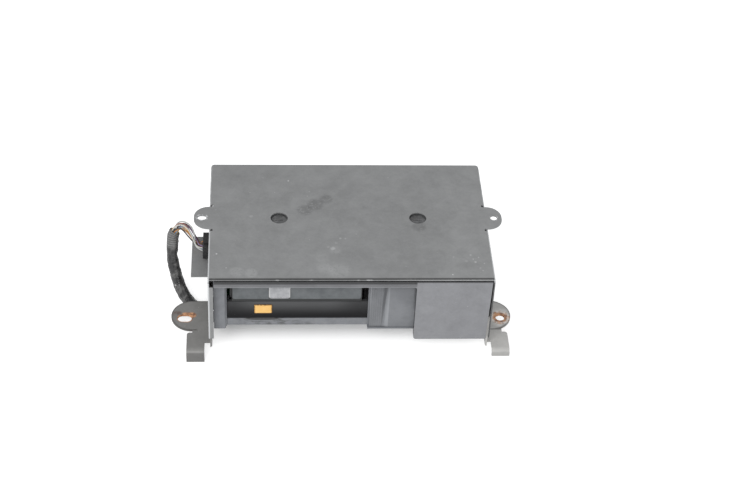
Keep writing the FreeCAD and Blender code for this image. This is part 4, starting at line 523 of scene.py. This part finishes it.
# where dust and chips lie on the top, in the shield's millimetres, with their radius and brightness
MARKS = [
    (-14.0, 55.0, 2.2, 0.05),
    (-9.5, 62.0, 1.6, 0.10),
    (-4.5, 61.5, 1.3, 0.09),
    (-22.0, 49.0, 1.8, 0.07),
    (-17.5, 46.5, 3.2, 0.10),
    (-28.0, 32.0, 9.0, 0.03),
    (-112.0, 12.0, 9.0, 0.05),
    (-98.0, 10.0, 8.0, 0.055),
    (-12.0, 12.0, 14.0, 0.04),
    (-27.0, 17.0, 10.0, 0.04),
    (-77.0, 96.0, 3.0, 0.05),
    (-44.0, 106.0, 10.0, -0.06),
    (-33.0, 115.0, 11.0, -0.07),
    (-22.0, 123.0, 9.0, -0.06),
    (70.0, 80.0, 9.0, -0.05),
    (-98.0, 96.0, 2.4, 0.06),
    (120.5, 30.5, 0.8, 0.22),
    (126.0, 33.0, 0.8, 0.30),
    (131.0, 24.0, 0.7, 0.20),
    (128.8, 13.5, 1.0, 0.12),
    (113.5, 27.5, 2.0, 0.05),
    (-60.0, 153.2, 1.0, 0.34),
    (-131.9, 38.5, 1.1, 0.30),
    (-122.2, 17.6, 0.9, 0.30),
    (118.5, 36.6, 1.3, 0.14),
    (122.5, 26.1, 1.6, 0.16),
    (126.6, 17.1, 1.2, 0.14),
    (98.6, 7.5, 1.1, 0.40),
    (-15.4, 44.4, 7.5, 0.035),
]


def shield_paint(name, top=False):
    """Grey paint, clouded, smudged and dusty, scuffed to the metal along the bends, where painted highlight
    lies too.

    On the top the rolled front edge has painted shade behind it and is scuffed in front; below it, painted
    shadow lies under the top's edge and along the tongue's hem, and the lintel is painted darker, with a
    painted highlight on its lower rim.
    """
    paint = Finish(name)
    wide = paint.noise(17, 4, 0.6, 0.5).rise(0.32, 0.68)
    cloud = paint.noise(48, 6, 0.68, 0.3)
    blotch = paint.noise(115, 5, 0.7, 0.6)
    speckle = paint.noise(430, 3, 0.6)
    grain = paint.noise(1300, 2)
    dust = paint.specks(85, 0.075, 0.3) | (paint.specks(240, 0.1, 0.3) * paint.noise(9, 2).rise(0.42, 0.6))
    clouded = 0.5 + 0.1 * wide + 0.42 * cloud + 0.26 * blotch + 0.12 * speckle + 0.06 * grain
    shade = 0.262 * clouded + 0.12 * dust
    front = paint.behind(0)
    across = abs(paint.right_of(0))
    edge_on = front.rise(0.0007, 0.0003)
    side_bend = across.rise(SHIELD_HALF - 0.0016, SHIELD_HALF - 0.0008)
    side_bend = side_bend * across.rise(SHIELD_HALF + 0.0006, SHIELD_HALF + 0.0002)
    side_bend = side_bend * paint.z.rise(SHIELD_TOP - 0.004, SHIELD_TOP - 0.0022)
    scuffed = paint.behind(80).rise(0.004, -0.004)
    rubbing = paint.noise(70, 3).rise(0.3, 0.6) * 0.75 | (paint.noise(90, 3).rise(0.2, 0.45) * scuffed)
    # pale along the bends: partly rubbed bare metal, partly painted highlight
    wear_and_highlight = side_bend * rubbing
    if top:
        flat = paint.z.rise(SHIELD_TOP - 0.0004, SHIELD_TOP - 0.0001)
        shade = shade * (1 + 0.1 * paint.right_of(0).rise(0.06, 0.14))
        for x, y, radius, light in MARKS:
            blot = paint.ring(x, y, 0).rise(radius / 1000, radius / 2000)
            blot = blot * paint.noise(420, 2, 0.6).rise(0.3, 0.5)
            shade = shade + flat * blot * light
        # the ears are flush with the top, so no bend shows there; chips ring the slot in the left one
        ears = abs(paint.behind(EAR_BACK)).rise(0.0195, 0.0205)
        wear_and_highlight = wear_and_highlight * (ears | paint.z.rise(SHIELD_TOP - 0.001, SHIELD_TOP - 0.002))
        slot = paint.ring(-EAR_OUT, EAR_BACK, 3.25, 1.25)
        slot_chips = slot.rise(0.0026, 0.0006) * paint.noise(380, 3, 0.7).rise(0.46, 0.56)
        hole = paint.ring(EAR_OUT, EAR_BACK, 3.5)
        hole_chips = hole.rise(0.0014, 0.0004) * paint.noise(380, 3, 0.7).rise(0.5, 0.6)
        chips = (slot_chips | hole_chips) * flat
        # rolled edge: painted shade in a band just behind it, and a rubbed face that is brighter on the
        # right
        right_half = paint.right_of(0).rise(-0.02, 0.075)
        broken = paint.noise(1, 3, 0.7, 0, paint.stretched(60, 8, 8)).rise(0.2, 0.42)
        hollow = front.rise(0.0034, 0.0017) * flat * broken
        rim = edge_on * paint.z.rise(SHIELD_TOP - 0.0018, SHIELD_TOP - 0.0014)
        rubbed_and_glinting = rim * paint.noise(1, 3, 0.7, 0, paint.stretched(70, 1, 1)).rise(0.56, 0.68)
        shade = shade * (1 - 0.74 * hollow) * (1 - 0.2 * rim * (1 - right_half))
        shade = shade * (1 + 0.5 * rim * right_half) + 0.2 * rubbed_and_glinting
        # below the top, the side sheets' cut edges are painted: a pale painted highlight on the left one,
        # painted shade on the right one
        side_edge = edge_on * paint.z.rise(SHIELD_TOP - 0.004, SHIELD_TOP - 0.005)
        side_edge = side_edge * across.rise(SHIELD_HALF - 0.0016, SHIELD_HALF - 0.0012)
        left = paint.right_of(0).rise(0.0001, -0.0001)
        wear_and_highlight = wear_and_highlight | chips | (side_edge * left)
        shade = shade * (1 - 0.7 * side_edge * (1 - left))
    else:
        # painted shade: the lintel is painted darker than the tongue and darker still at the strip's top
        # under the top sheet, with a painted highlight on its lower rim; painted shadow lies along the hem
        # at the tongue's left edge
        tongue_left, hem_middle = 63.6, 64.2
        lintel = paint.right_of(tongue_left).rise(0.0003, -0.0003)
        seam_shadow = (paint.z.rise(0.0968, 0.0992) * lintel) | paint.z.rise(0.0992, 0.1003)
        lower_rim_highlight = paint.z.rise(0.0946, 0.0941) * lintel * edge_on
        hem = front.rise(0.0011, 0.0013) * abs(paint.right_of(hem_middle)).rise(0.0014, 0.0010)
        shade = shade * (1 - 0.76 * seam_shadow) * (0.98 - 0.36 * lintel + 0.35 * lower_rim_highlight) * (1 - 0.86 * hem)
    blue = 1.005 if top else 1.05
    tint = paint.node("ShaderNodeCombineColor", {}, {0: shade * 0.99, 1: shade, 2: shade * blue})
    colour = paint.mix(tint, (0.66, 0.67, 0.68), wear_and_highlight * 0.8)
    rough = 0.5 - 0.14 * cloud + 0.2 * dust
    height = cloud * 0.5 + grain * 0.12 + dust * 0.3
    return paint.coat(colour, rough, height, 0.00016, Specular_IOR_Level=0.35)


dress("top_shield", shield_paint("shield_top_paint", True))


# Front panel: a strip of the same steel spot welded under the top, with a lintel over the mouth
# and a tongue that comes down at the right to cover the parked door.
dress("front_shield", shield_paint("shield_front_paint"))


# Lower brackets: a web riveted inside each side of the shield, bent out into a foot. The paint is
# grey, the right one's paler, dark at the feet's round edges with dirt and painted shade, and rusty
# around the bolt holes. Painted shade darkens the tabs' fronts, and painted highlights lie along
# their bends and around the round hole.
# the feet's top in metres, then their round ends' radius and middles in the shield's millimetres
FOOT_TOP = 0.014
FOOT_RADIUS, FOOT_BACK = 21.6, 46.6
LEFT_FOOT, RIGHT_FOOT = -157.4, 146.0


def bracket_paint(name, tone, tab_shade_tone):
    """Clouded grey paint in two tones: one for the flat sheet, and a darker one on the tab's front as
    painted shade.

    Rust grows in from the holes in the feet; around the round one, painted highlight brightens the paint and
    lies in pale patches on the rust.
    """
    paint = Finish(name)
    cloud = paint.noise(55, 6, 0.68)
    blotch = paint.noise(170, 5, 0.7, 0.5)
    grain = paint.noise(1100, 2)
    dust = paint.specks(150, 0.09, 0.3)
    low = paint.z.rise(FOOT_TOP + 0.001, FOOT_TOP - 0.0002)
    slot, bolt = paint.ring(-165.3, 42.4, 5, 2.2), paint.ring(156.6, 42.4, 4.55)
    patchy = paint.noise(260, 4, 0.65)
    wander = paint.noise(210, 4, 0.7)
    # rust lies behind the slot, and a brown stain to its left; around the round hole it makes a full ring
    behind = paint.ring(-161.4, 47.0, 3.6, 3.6).rise(0.0016, -0.0010) * (patchy + 0.35).rise(0.40, 0.58)
    stain = paint.ring(-173.2, 49.5, 2.6, 1.2).rise(0.0024, -0.0008) * wander.rise(0.36, 0.56)
    around = slot.rise(0.0014, 0.0001) * (patchy + 0.25).rise(0.44, 0.6)
    full = bolt.rise(0.0064, 0.0036) * (patchy | wander).rise(0.28, 0.44)
    rust = (behind | around | full) * low
    # the feet's round edges are dark, with dirt and painted shade, each only outwards of its middle and
    # behind the tab's notch
    left_edge = paint.ring(LEFT_FOOT, FOOT_BACK, FOOT_RADIUS).rise(-0.0018, -0.0004)
    right_edge = paint.ring(RIGHT_FOOT, FOOT_BACK, FOOT_RADIUS).rise(-0.0018, -0.0004)
    left_edge = left_edge * paint.right_of(LEFT_FOOT + 3.4).rise(0.003, 0)
    right_edge = right_edge * paint.right_of(RIGHT_FOOT - 3).rise(0, 0.003)
    rim = (left_edge | right_edge) * paint.behind(24.4).rise(-0.0003, 0.0003) * low
    front = paint.behind(-4)
    # painted shade: the tab's front face takes the darker tab tone
    face = paint.z.rise(0.0122, 0.0106) * front.rise(0.0012, -0.0012)
    # painted highlight: a pale line along the tab's bend
    bend = paint.z.rise(0.0114, 0.0122) * paint.z.rise(0.0142, 0.0136) * front.rise(0.0006, -0.0012)
    wear_and_highlight = bend * wander.rise(0.3, 0.55)
    clouded = 0.62 + 0.42 * cloud + 0.28 * blotch + 0.07 * grain
    # painted highlight: the paint is brighter around the round hole, and pale in patches over the rust
    hole_highlight = bolt.rise(0.0115, 0.0040) * low
    shade = clouded * (tone - (tone - tab_shade_tone) * face) + 0.24 * hole_highlight * blotch.rise(0.3, 0.6)
    painted = paint.node("ShaderNodeCombineColor", {}, {0: shade, 1: shade * 0.985, 2: shade * 0.955})
    dusted = paint.mix(painted, (0.5, 0.49, 0.47), (dust * 0.5) | (wear_and_highlight * 0.22))
    dusted = paint.mix(dusted, (0.13, 0.075, 0.06), stain * low * 0.7)
    dusted = paint.mix(dusted, (0.075, 0.07, 0.065), rim * 0.7)
    brown = paint.mix((0.26, 0.12, 0.07), (0.72, 0.37, 0.19), wander.rise(0.4, 0.6))
    pale_highlight = bolt.rise(0.0016, 0.0040) * hole_highlight * paint.noise(330, 2).rise(0.42, 0.54)
    colour = paint.mix(dusted, paint.mix(brown, (0.80, 0.76, 0.71), pale_highlight), rust)
    height = cloud * 0.4 + grain * 0.15 + rust * patchy * 1.2
    return paint.coat(colour, 0.52 + 0.3 * rust, height, 0.0003, Specular_IOR_Level=0.3)


dress("left_bracket", bracket_paint("left_bracket_paint", 0.235, 0.165))
dress("right_bracket", bracket_paint("right_bracket_paint", 0.50, 0.41))


# Fasteners: steel rivets with low domes clinch the brackets to the shield. Pan head screws with a
# cross recess go through rubber grommets into the changer, and four more hold its cover.
def plated_steel():
    """Zinc plate gone dull: fine grain, with darker stains."""
    zinc = Finish("zinc_plate")
    stain = zinc.noise(160, 4, 0.6)
    grain = zinc.noise(2400, 1)
    colour = zinc.mix((0.42, 0.42, 0.40), (0.66, 0.66, 0.65), stain.rise(0.3, 0.62))
    return zinc.coat(colour, 0.3 + 0.2 * stain, grain, 0.00004, Metallic=0.9)


zinc = plated_steel()


def turned(name, profile, places, axis, body, finish, recess=None, steps=40):
    """Round parts as one mesh: each profile point (radius, height) in mm turns about an axis at each place.

    A recess takes the depth of a cross cut out of the flat disc in the head's middle: 1 inside either arm.
    """
    turn = np.linspace(0, 2 * np.pi, steps, endpoint=False)
    profile = np.array(profile, float)
    rings = len(profile)
    points, faces = [], []
    for centre, way in places:
        r, t = np.meshgrid(profile[:, 0], turn, indexing="ij")
        h = np.repeat(profile[:, 1], steps).reshape(r.shape).copy()
        if recess is not None:
            arm, reach, deep = recess
            a, b = np.abs(r * np.cos(t)), np.abs(r * np.sin(t))
            inside = ((a < arm) | (b < arm)) & (r < reach)
            h -= inside * deep * np.clip(1.15 - r / reach, 0, 1) * (np.arange(rings)[:, None] >= rings - 14)
        disc = np.stack([r * np.cos(t), r * np.sin(t)], -1)
        if axis == "x":
            p = np.stack([h * way, disc[..., 0], disc[..., 1] * way], -1)
        else:
            p = np.stack([disc[..., 0], disc[..., 1] * way, h * way], -1)
        start = sum(len(q) for q in points)
        points.append((p / 1000 + spot(*centre)).reshape(-1, 3))
        faces += grid_faces(rings, steps, True, start)
        faces.append(list(range(start, start + steps))[::-1])
        faces.append(list(range(start + (rings - 1) * steps, start + rings * steps)))
    made = piece(name, np.concatenate(points), faces, finish, body)
    made.data.set_sharp_from_angle(angle=math.radians(38))
    return made


SIDE_SCREWS = [(sign, y) for sign in (-1, 1) for y in (34, 150)]
rivet_dome = [(2.0, -3.1), (2.0, -0.02)] + [
    (3.2 * math.cos(a), 1.1 * math.sin(a)) for a in np.linspace(0, 1.5, 9)
]
rivet_places = [((s * 140, y + 14, 34), s) for s, y in SIDE_SCREWS]
rivets = turned("rivet_domes", rivet_dome, rivet_places, "x", "housing", zinc)
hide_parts("bracket_rivets")


def screw_profile(radius, head, shank, length):
    """A pan head screw from its point up: shank, underside, rounded rim, and fine rings over the head."""
    round_off = 0.7
    angles = np.linspace(0, 1.45, 6)
    rim = [(radius + round_off * (math.cos(a) - 1), head + round_off * (math.sin(a) - 1)) for a in angles]
    crown = [(r, head + 0.12 * (1 - r / radius)) for r in np.linspace(radius - 0.9, 0.05, 16)]
    return [(shank * 0.6, -length), (shank, -length + 1), (shank, 0), (radius, 0), *rim, *crown]


side_screws = turned(
    "side_screws",
    screw_profile(4, 2.2, 2, 7),
    [((s * 138.8, y, 42), s) for s, y in SIDE_SCREWS],
    "x",
    "housing",
    zinc,
    (0.55, 2.6, 1.3),
    72,
)
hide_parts("unit_screws")


# Grommets: black rubber sleeves between each bracket and the changer, dusty where they bulge.
def grommet_rubber():
    """Matt black rubber with a bloom of grey dust."""
    rubber = Finish("grommet_rubber")
    bloom = rubber.noise(120, 4).rise(0.42, 0.7)
    return rubber.coat(
        rubber.mix((0.018, 0.018, 0.019), (0.075, 0.073, 0.07), bloom * 0.7),
        0.62 + 0.2 * bloom,
        rubber.noise(900, 3),
        0.00015,
    )


rubber = grommet_rubber()
dress("mounting_grommets", rubber)
dress("rubber_dampers", rubber)


# Changer housing: a tub and a cover, pressed from zinc coated steel, held by four screws. The
# same metal makes the mechanism frame, the lift deck and the plate that carries the lift drive.
def spangled_steel():
    """Zinc coated sheet: flat crystals of slightly different greys, and a fine grain."""
    sheet = Finish("zinc_sheet")
    crystal = sheet.node("ShaderNodeTexVoronoi", {}, {"Vector": sheet.where, "Scale": 260}, "Color")
    lot = sheet.node("ShaderNodeSeparateColor", {}, {0: crystal}, 0)
    haze = sheet.noise(40, 4, 0.6)
    share = lot * 0.35 + haze * 0.65
    colour = sheet.mix((0.36, 0.37, 0.38), (0.55, 0.56, 0.57), share)
    return sheet.coat(colour, 0.3 + 0.22 * share, haze * 0.4 + lot * 0.05, 0.0001, Metallic=0.8)


sheet_metal = spangled_steel()
for node in ("chassis_base", "chassis_cover", "mechanism_frame", "lift_deck", "gear_plate"):
    dress(node, sheet_metal)

UNIT_HALF, UNIT_BACK = 134.8, 171.0
cover_screws = turned(
    "cover_screw_heads",
    screw_profile(3.4, 1.4, 1.4, 5),
    [((x * (UNIT_HALF - 12), y, 100), 1) for x in (-1, 1) for y in (26.5, UNIT_BACK - 12)],
    "z",
    "housing",
    zinc,
    (0.5, 2.3, 1.0),
    72,
)
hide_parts("cover_screws")


# Transport plugs: grey discs pushed into the cover's two holes, where long screws held the
# mechanism still on its way to the shop. A coin fits the slot in each.
def plug_grey():
    """Mid grey polyethylene: waxy, scuffed and dirty in patches."""
    plug = Finish("transport_plug_grey")
    scuff = plug.noise(240, 5, 0.7)
    dirt_and_painted_shade = plug.noise(90, 3).rise(0.4, 0.66)
    colour = plug.mix((0.085, 0.087, 0.09), (0.165, 0.165, 0.168), scuff.rise(0.3, 0.68))
    return plug.coat(plug.mix(colour, (0.05, 0.048, 0.045), dirt_and_painted_shade * 0.5), 0.44 + 0.2 * scuff, scuff, 0.00012)


dress("transport_plugs", plug_grey())


# Front moulding and sliding door: grey styrene with a fine spark eroded grain, dusty in the
# corners. The door's two leaves are the same stock, with a ribbed strip to push with.
def grained_plastic(name, colour, dusty=0.25):
    """Moulded plastic: a fine even grain, faint clouding, and dust that lies on it in patches."""
    plastic = Finish(name)
    grain = plastic.noise(1700, 2)
    cloud = plastic.noise(48, 4, 0.6)
    dust = plastic.noise(230, 4, 0.7).rise(0.48, 0.74) * dusty
    base = plastic.mix(tuple(c * 0.88 for c in colour), tuple(c * 1.14 for c in colour), cloud)
    pale = tuple(0.5 * c + 0.16 for c in colour)
    return plastic.coat(
        plastic.mix(base, pale, dust), 0.46 + 0.12 * cloud + 0.3 * dust, grain * 0.5 + cloud * 0.3, 0.00012
    )


def moulding_grey():
    """The moulding: as the grained plastic, with dark smudges on the lip under the bar and painted shade in
    its finger scoop.
    """
    plastic = Finish("front_moulding_grey")
    grain, cloud = plastic.noise(1700, 2), plastic.noise(60, 5, 0.65)
    dust = plastic.noise(230, 4, 0.7).rise(0.46, 0.74)
    ledge = plastic.behind(10.5).rise(0, 0.0006) * plastic.z.rise(0.0440, 0.0430)
    # the scoop is six times as wide as it is high
    bowl = (plastic.right_of(-87) ** 2 * 0.028 + (plastic.z - 0.0412) ** 2) ** 0.5
    scoop = bowl.rise(0.0034, 0.0024) * ledge * plastic.noise(500, 3, 0.6).rise(0.2, 0.4)
    dirt_and_painted_shade = plastic.noise(1, 4, 0.65, 0.3, plastic.stretched(90, 10, 200)).rise(0.48, 0.62)
    dirt_and_painted_shade = dirt_and_painted_shade * ledge * abs(plastic.right_of(-72)).rise(0.05, 0.02)
    base = plastic.mix((0.185, 0.191, 0.205), (0.235, 0.243, 0.26), cloud.rise(0.3, 0.7))
    base = plastic.mix(base, (0.29, 0.29, 0.29), dust * (0.15 + 0.25 * ledge))
    # painted shade in the finger scoop, and dark smudges along the lip
    colour = plastic.mix(base, (0.045, 0.043, 0.04), scoop * 0.85 | (dirt_and_painted_shade * 0.6))
    height = grain * 0.5 + cloud * 0.3
    return plastic.coat(colour, 0.5 + 0.2 * dust, height, 0.00012, Specular_IOR_Level=0.35)


dress("fascia", moulding_grey())


def door_plastic():
    """The door's grey, with faint ribs in its finger recess.

    The recess has a leaning ramp, painted with a slanting highlight band and a painted shadow line along its
    left; painted shade darkens the door towards its top and beside the tongue.
    """
    door = Finish("door_grey")
    grain, cloud = door.noise(1700, 2), door.noise(48, 4, 0.6)
    dust = door.noise(230, 4, 0.7).rise(0.48, 0.74)
    door_low, rib_pitch = 34.2, 2.14
    x, z = door.right_of(0) * 1000, door.z * 1000 - door_low
    # in millimetres: the painted highlight band's two edges and the painted shadow line's left edge each
    # lean with the height
    left, right, hollow = 31.6 + z * 0.088, 37.9 + z * 0.006, 30.9 + z * 0.03
    band = (x - left).rise(-0.3, 4.2) * (right - x).rise(-0.4, 0.4)
    dark = (x - hollow).rise(-0.3, 0.6) * (left - x).rise(-0.2, 0.3)
    ribs = ((x - 19.2) * (2 * math.pi / rib_pitch)).wave() * (x - hollow).rise(0.4, -0.4)
    rim = (x - 20.0).rise(0.2, -0.2) * z.rise(18, 44)
    # where the tongue's painted shadow falls, just left of its edge
    beside = (x - 61.4).rise(0, 1.8) * (x - 66).rise(1.5, -0.5) * z.rise(18, 44)
    base = door.mix((0.182, 0.188, 0.20), (0.232, 0.239, 0.253), cloud.rise(0.3, 0.7))
    base = door.mix(base, (0.27, 0.272, 0.28), (dust * 0.3) | (ribs * 0.3))
    # painted shadow: the ramp's dark line, deeper towards the top, and the tongue's shadow beside its edge
    base = door.mix(base, (0.06, 0.062, 0.066), dark * (0.3 + 0.6 * z.rise(6, 52)) | (beside * 0.7))
    # painted shade under the lintel: the door darkens towards its top
    base = door.mix(base, (0.14, 0.145, 0.155), z.rise(20, 50) * 0.4)
    colour = door.mix(base, (0.36, 0.37, 0.39), (band * 0.62) | (rim * 0.6))
    height = grain * 0.5 + cloud * 0.3
    return door.coat(colour, 0.48 + 0.2 * dust, height, 0.00012, Specular_IOR_Level=0.35)


dress("shutter_front_leaf", door_plastic())
dress("shutter_rear_leaf", grained_plastic("rear_leaf_grey", (0.186, 0.192, 0.204), 0.3))


# Eject bar and key: a glossy black bar closes the lower half of the mouth, and a slightly
# cushioned orange key stands in it, on a stem that pushes the lever behind.
def bar_gloss():
    """Black polished plastic, with a painted reflection, palest at its top edge and middle, that fades down
    and to its dark ends; pale dust specks lie on it.
    """
    bar = Finish("eject_bar_black")
    # painted reflection: paler grey at the bar's top and middle, fading down and towards its ends
    top = bar.z.rise(0.045, 0.065)
    middle = abs(bar.right_of(-55)).rise(0.068, 0.03)
    wipe = bar.noise(1, 4, 0.6, 0, bar.stretched(14, 40, 90))
    dust = bar.specks(330, 0.1, 0.2)
    share = top * (0.45 + 0.55 * middle) * (0.7 + 0.5 * wipe)
    colour = bar.mix((0.010, 0.010, 0.011), (0.1, 0.101, 0.104), share)
    colour = bar.mix(colour, (0.2, 0.2, 0.2), dust * 0.5)
    return bar.coat(colour, 0.3 + 0.16 * wipe + 0.2 * dust, wipe, 0.00006, Specular_IOR_Level=0.1)


dress("eject_panel", bar_gloss())


def orange_key():
    """Translucent looking orange plastic, with a brown painted shadow along its edges."""
    key = Finish("eject_key_orange")
    edge = abs(key.right_of(-86.2)).rise(0.0072, 0.0086) | abs(key.z - 0.05515).rise(0.0042, 0.0054)
    # painted shadow: brown along the key's edges, in the gap around it
    dirt_and_painted_shade = edge * key.noise(500, 3).rise(0.25, 0.6)
    cloud = key.noise(180, 3)
    colour = key.mix((0.88, 0.50, 0.13), (0.97, 0.62, 0.22), cloud)
    return key.coat(key.mix(colour, (0.22, 0.075, 0.015), dirt_and_painted_shade * 0.8), 0.34 + 0.3 * dirt_and_painted_shade, cloud, 0.0001)


key_orange = orange_key()
dress("eject_button", key_orange)


def cushion(name, low, high, front, depth, swell, edge, finish, body):
    """A key top between two corners (x, z), given in millimetres.

    Its face swells by one less the fourth power of the place across, times the same up, and rounds off
    over the edge width.
    """
    a, b = np.meshgrid(np.linspace(-1, 1, 45), np.linspace(-1, 1, 31), indexing="ij")
    half_x, half_z = (high[0] - low[0]) / 2, (high[1] - low[1]) / 2
    inset = np.minimum((1 - np.abs(a)) * half_x, (1 - np.abs(b)) * half_z) / edge
    roll = 1 - np.sqrt(np.clip(1 - (1 - np.clip(inset, 0, 1)) ** 2, 0, 1))
    proud = swell * (1 - a**4) * (1 - b**4) - edge * roll
    x = (low[0] + high[0]) / 2 + a * half_x
    z = (low[1] + high[1]) / 2 + b * half_z
    face = np.stack([x, front - proud, z], -1).reshape(-1, 3)
    rows, columns = a.shape
    faces = [list(reversed(f)) for f in grid_faces(rows, columns, False)]
    rim = [i * columns for i in range(rows)] + [(rows - 1) * columns + j for j in range(1, columns)]
    rim += [i * columns + columns - 1 for i in range(rows - 2, -1, -1)] + list(range(columns - 2, 0, -1))
    back = face[rim]
    back[:, 1] = front + depth
    start = len(face)
    points = np.concatenate([face, back])
    count = len(rim)
    faces += [(rim[i], start + i, start + (i + 1) % count, rim[(i + 1) % count])[::-1] for i in range(count)]
    faces.append(list(range(start, start + count))[::-1])
    points = np.array([spot(*p) for p in points])
    made = piece(name, points, faces, finish, body)
    made.data.set_sharp_from_angle(angle=math.radians(50))
    return made


key_corners = (-94.9, 49.8), (-77.5, 60.5)
key_top = cushion("eject_key_top", *key_corners, 10.9, 1.5, 0.32, 0.9, key_orange, "eject_key")


# Magazine: a dark grey cartridge for six discs. Its front shows below the lintel, with a light
# ribbed key that lets the magazine's own catch go; the trays slide out of its right side.
def cartridge_front():
    """Smooth dark grey, with painted shadow at its sides and along its lower edge."""
    front = Finish("magazine_front_grey")
    # painted shadow past a round cornered field: a beyond its sides, b below it
    a = (abs(front.right_of(-53)) - 0.061) | 0.0
    b = (0.0701 - front.z) | 0.0
    dirt_and_painted_shade = ((a**2 + b**2) ** 0.5).rise(0.0018, 0.0026)
    cloud, grain = front.noise(70, 5, 0.65), front.noise(1500, 2)
    base = front.mix((0.098, 0.108, 0.113), (0.155, 0.165, 0.172), cloud.rise(0.3, 0.7))
    colour = front.mix(base, (0.012, 0.012, 0.012), dirt_and_painted_shade * 0.9)
    height = grain * 0.3 + cloud * 0.4
    return front.coat(colour, 0.42 + 0.16 * cloud, height, 0.00008, Specular_IOR_Level=0.35)


dress("magazine_front", cartridge_front())
dress("magazine_shell", grained_plastic("magazine_shell_grey", (0.075, 0.08, 0.085)))


def catch_grey():
    """Pale grey key: a painted highlight along both sides, painted shadow in its lower corners, finely
    clouded between.
    """
    catch = Finish("magazine_key_grey")
    out = abs(catch.right_of(-70.15))
    # painted highlight along both side bevels, and painted shadow along the foot, deepest in the corners
    sides = out.rise(0.0092, 0.0098)
    foot = catch.z.rise(0.0706, 0.0694)
    cloud, grain = catch.noise(190, 5, 0.7), catch.noise(1500, 2)
    base = catch.mix((0.36, 0.365, 0.38), (0.50, 0.505, 0.52), cloud.rise(0.3, 0.7))
    base = catch.mix(base, (0.62, 0.62, 0.62), sides * 0.8)
    colour = catch.mix(base, (0.03, 0.03, 0.03), foot * (0.35 + 0.65 * out.rise(0.0078, 0.0096)))
    return catch.coat(colour, 0.44 + 0.14 * cloud, grain * 0.4 + cloud * 0.3, 0.0001)


dress("magazine_button", catch_grey())


def tray_finish():
    """Smooth near black tray plastic, with faint rings left by the mould around the disc's place."""
    tray = Finish("tray_black")
    far = tray.ring(-54, 84.3, 0)
    rings = (far * 5200).wave()
    cloud = tray.noise(60, 3)
    colour = tray.mix((0.022, 0.022, 0.024), (0.044, 0.044, 0.047), cloud)
    return tray.coat(colour, 0.28 + 0.18 * cloud, rings * 0.4 + cloud, 0.00004)


tray_black = tray_finish()
for number in range(1, 7):
    dress(f"disc_tray_{number}", tray_black)


# Inside mouldings: the guide that the magazine slides on, the side socket and the sled are black
# glass filled nylon; the plugs are softer and shinier.
inner_black = grained_plastic("inner_black", (0.030, 0.031, 0.033), 0.3)
for node in ("magazine_guide", "connector_socket", "disc_clamper", "pickup_sled"):
    dress(node, inner_black)
plug_black = grained_plastic("plug_black", (0.021, 0.021, 0.022), 0.22)
for node in ("connector_plug", "harness_plug"):
    dress(node, plug_black)


# Circuit board: green lacquer over copper tracks, with black chips soldered on.
def board_lacquer():
    """Green lacquer: tracks in two directions show as paler lines, and round pads as tinned spots."""
    board = Finish("board_lacquer")
    across, along = (board.x * 420).part(), (board.y * 420).part()
    area = board.noise(55, 2).rise(0.49, 0.51)
    laid_x = board.noise(1, 2, 0.5, 0, board.stretched(420, 18, 1)).rise(0.46, 0.5)
    laid_y = board.noise(1, 2, 0.5, 0, board.stretched(18, 420, 1)).rise(0.46, 0.5)
    line_x = abs(across - 0.5).rise(0.2, 0.12) * laid_x
    line_y = abs(along - 0.5).rise(0.2, 0.12) * laid_y
    tracks = line_x * area + line_y * (1 - area)
    pads = board.specks(300, 0.2, 0.35)
    green = board.mix((0.012, 0.075, 0.03), (0.035, 0.16, 0.06), tracks)
    return board.coat(board.mix(green, (0.5, 0.5, 0.46), pads), 0.28 + 0.1 * pads, tracks + pads, 0.00005)


dress("main_board", board_lacquer())


def chip_finish():
    """Black epoxy with a fine matt skin, and a paler band low down where the legs leave it."""
    chip = Finish("chip_epoxy")
    grain = chip.noise(2600, 2)
    legs = chip.z.rise(0.0446, 0.0442) * ((chip.x + chip.y) * 780).part().rise(0.5, 0.56)
    colour = chip.mix((0.02, 0.02, 0.021), (0.5, 0.5, 0.48), legs)
    return chip.coat(colour, 0.55 - 0.2 * legs, grain, 0.00005)


dress("board_components", chip_finish())


# Disc lift, turntable, clamp and optical sled: polished steel posts and rails, plated stampings
# and motors, white nylon for what turns or rubs.
for node in (
    "lift_posts",
    "sled_rails",
    "clamp_arm",
    "clamp_pin",
    "eject_lever",
    "lever_pin",
    "lift_cam",
    "spindle_motor",
    "sled_motor",
    "lift_motor",
):
    dress(node, zinc)


def milky_nylon():
    """Unfilled nylon: milky, slightly warm, with soft flow marks."""
    nylon = Finish("milky_nylon")
    flow = nylon.noise(140, 4, 0.55, 0.5)
    colour = nylon.mix((0.60, 0.585, 0.54), (0.74, 0.73, 0.69), flow)
    return nylon.coat(colour, 0.34 + 0.14 * flow, flow, 0.00008)


nylon_white = milky_nylon()
for node in ("turntable", "tray_puller", "lift_gear", "motor_pinion", "cam_rail"):
    dress(node, nylon_white)


def screw_steel():
    """Bright ground steel with a thread cut round it, drawn as fine ridges along the screw."""
    steel = Finish("lead_screw_steel")
    thread = (steel.x * (2 * math.pi / 0.0008)).wave()
    stain = steel.noise(220, 3)
    colour = steel.mix((0.45, 0.45, 0.44), (0.70, 0.70, 0.69), thread * 0.6 + stain * 0.4)
    return steel.coat(colour, 0.2 + 0.2 * stain, thread, 0.0002, Metallic=0.95)


dress("lead_screw", screw_steel())


def lens_coating():
    """Coated lens: a dark blue violet sheen that turns greener towards the rim."""
    lens_glass = Finish("lens_coating")
    rim = lens_glass.ring(58, 92, 0).rise(0.0008, 0.0028)
    haze = lens_glass.noise(900, 2)
    colour = lens_glass.mix((0.03, 0.02, 0.09), (0.03, 0.07, 0.08), rim)
    return lens_glass.coat(colour, 0.05 + 0.06 * haze, haze, 0.00001, Coat_Weight=0.6)


dress("objective_lens", lens_coating())
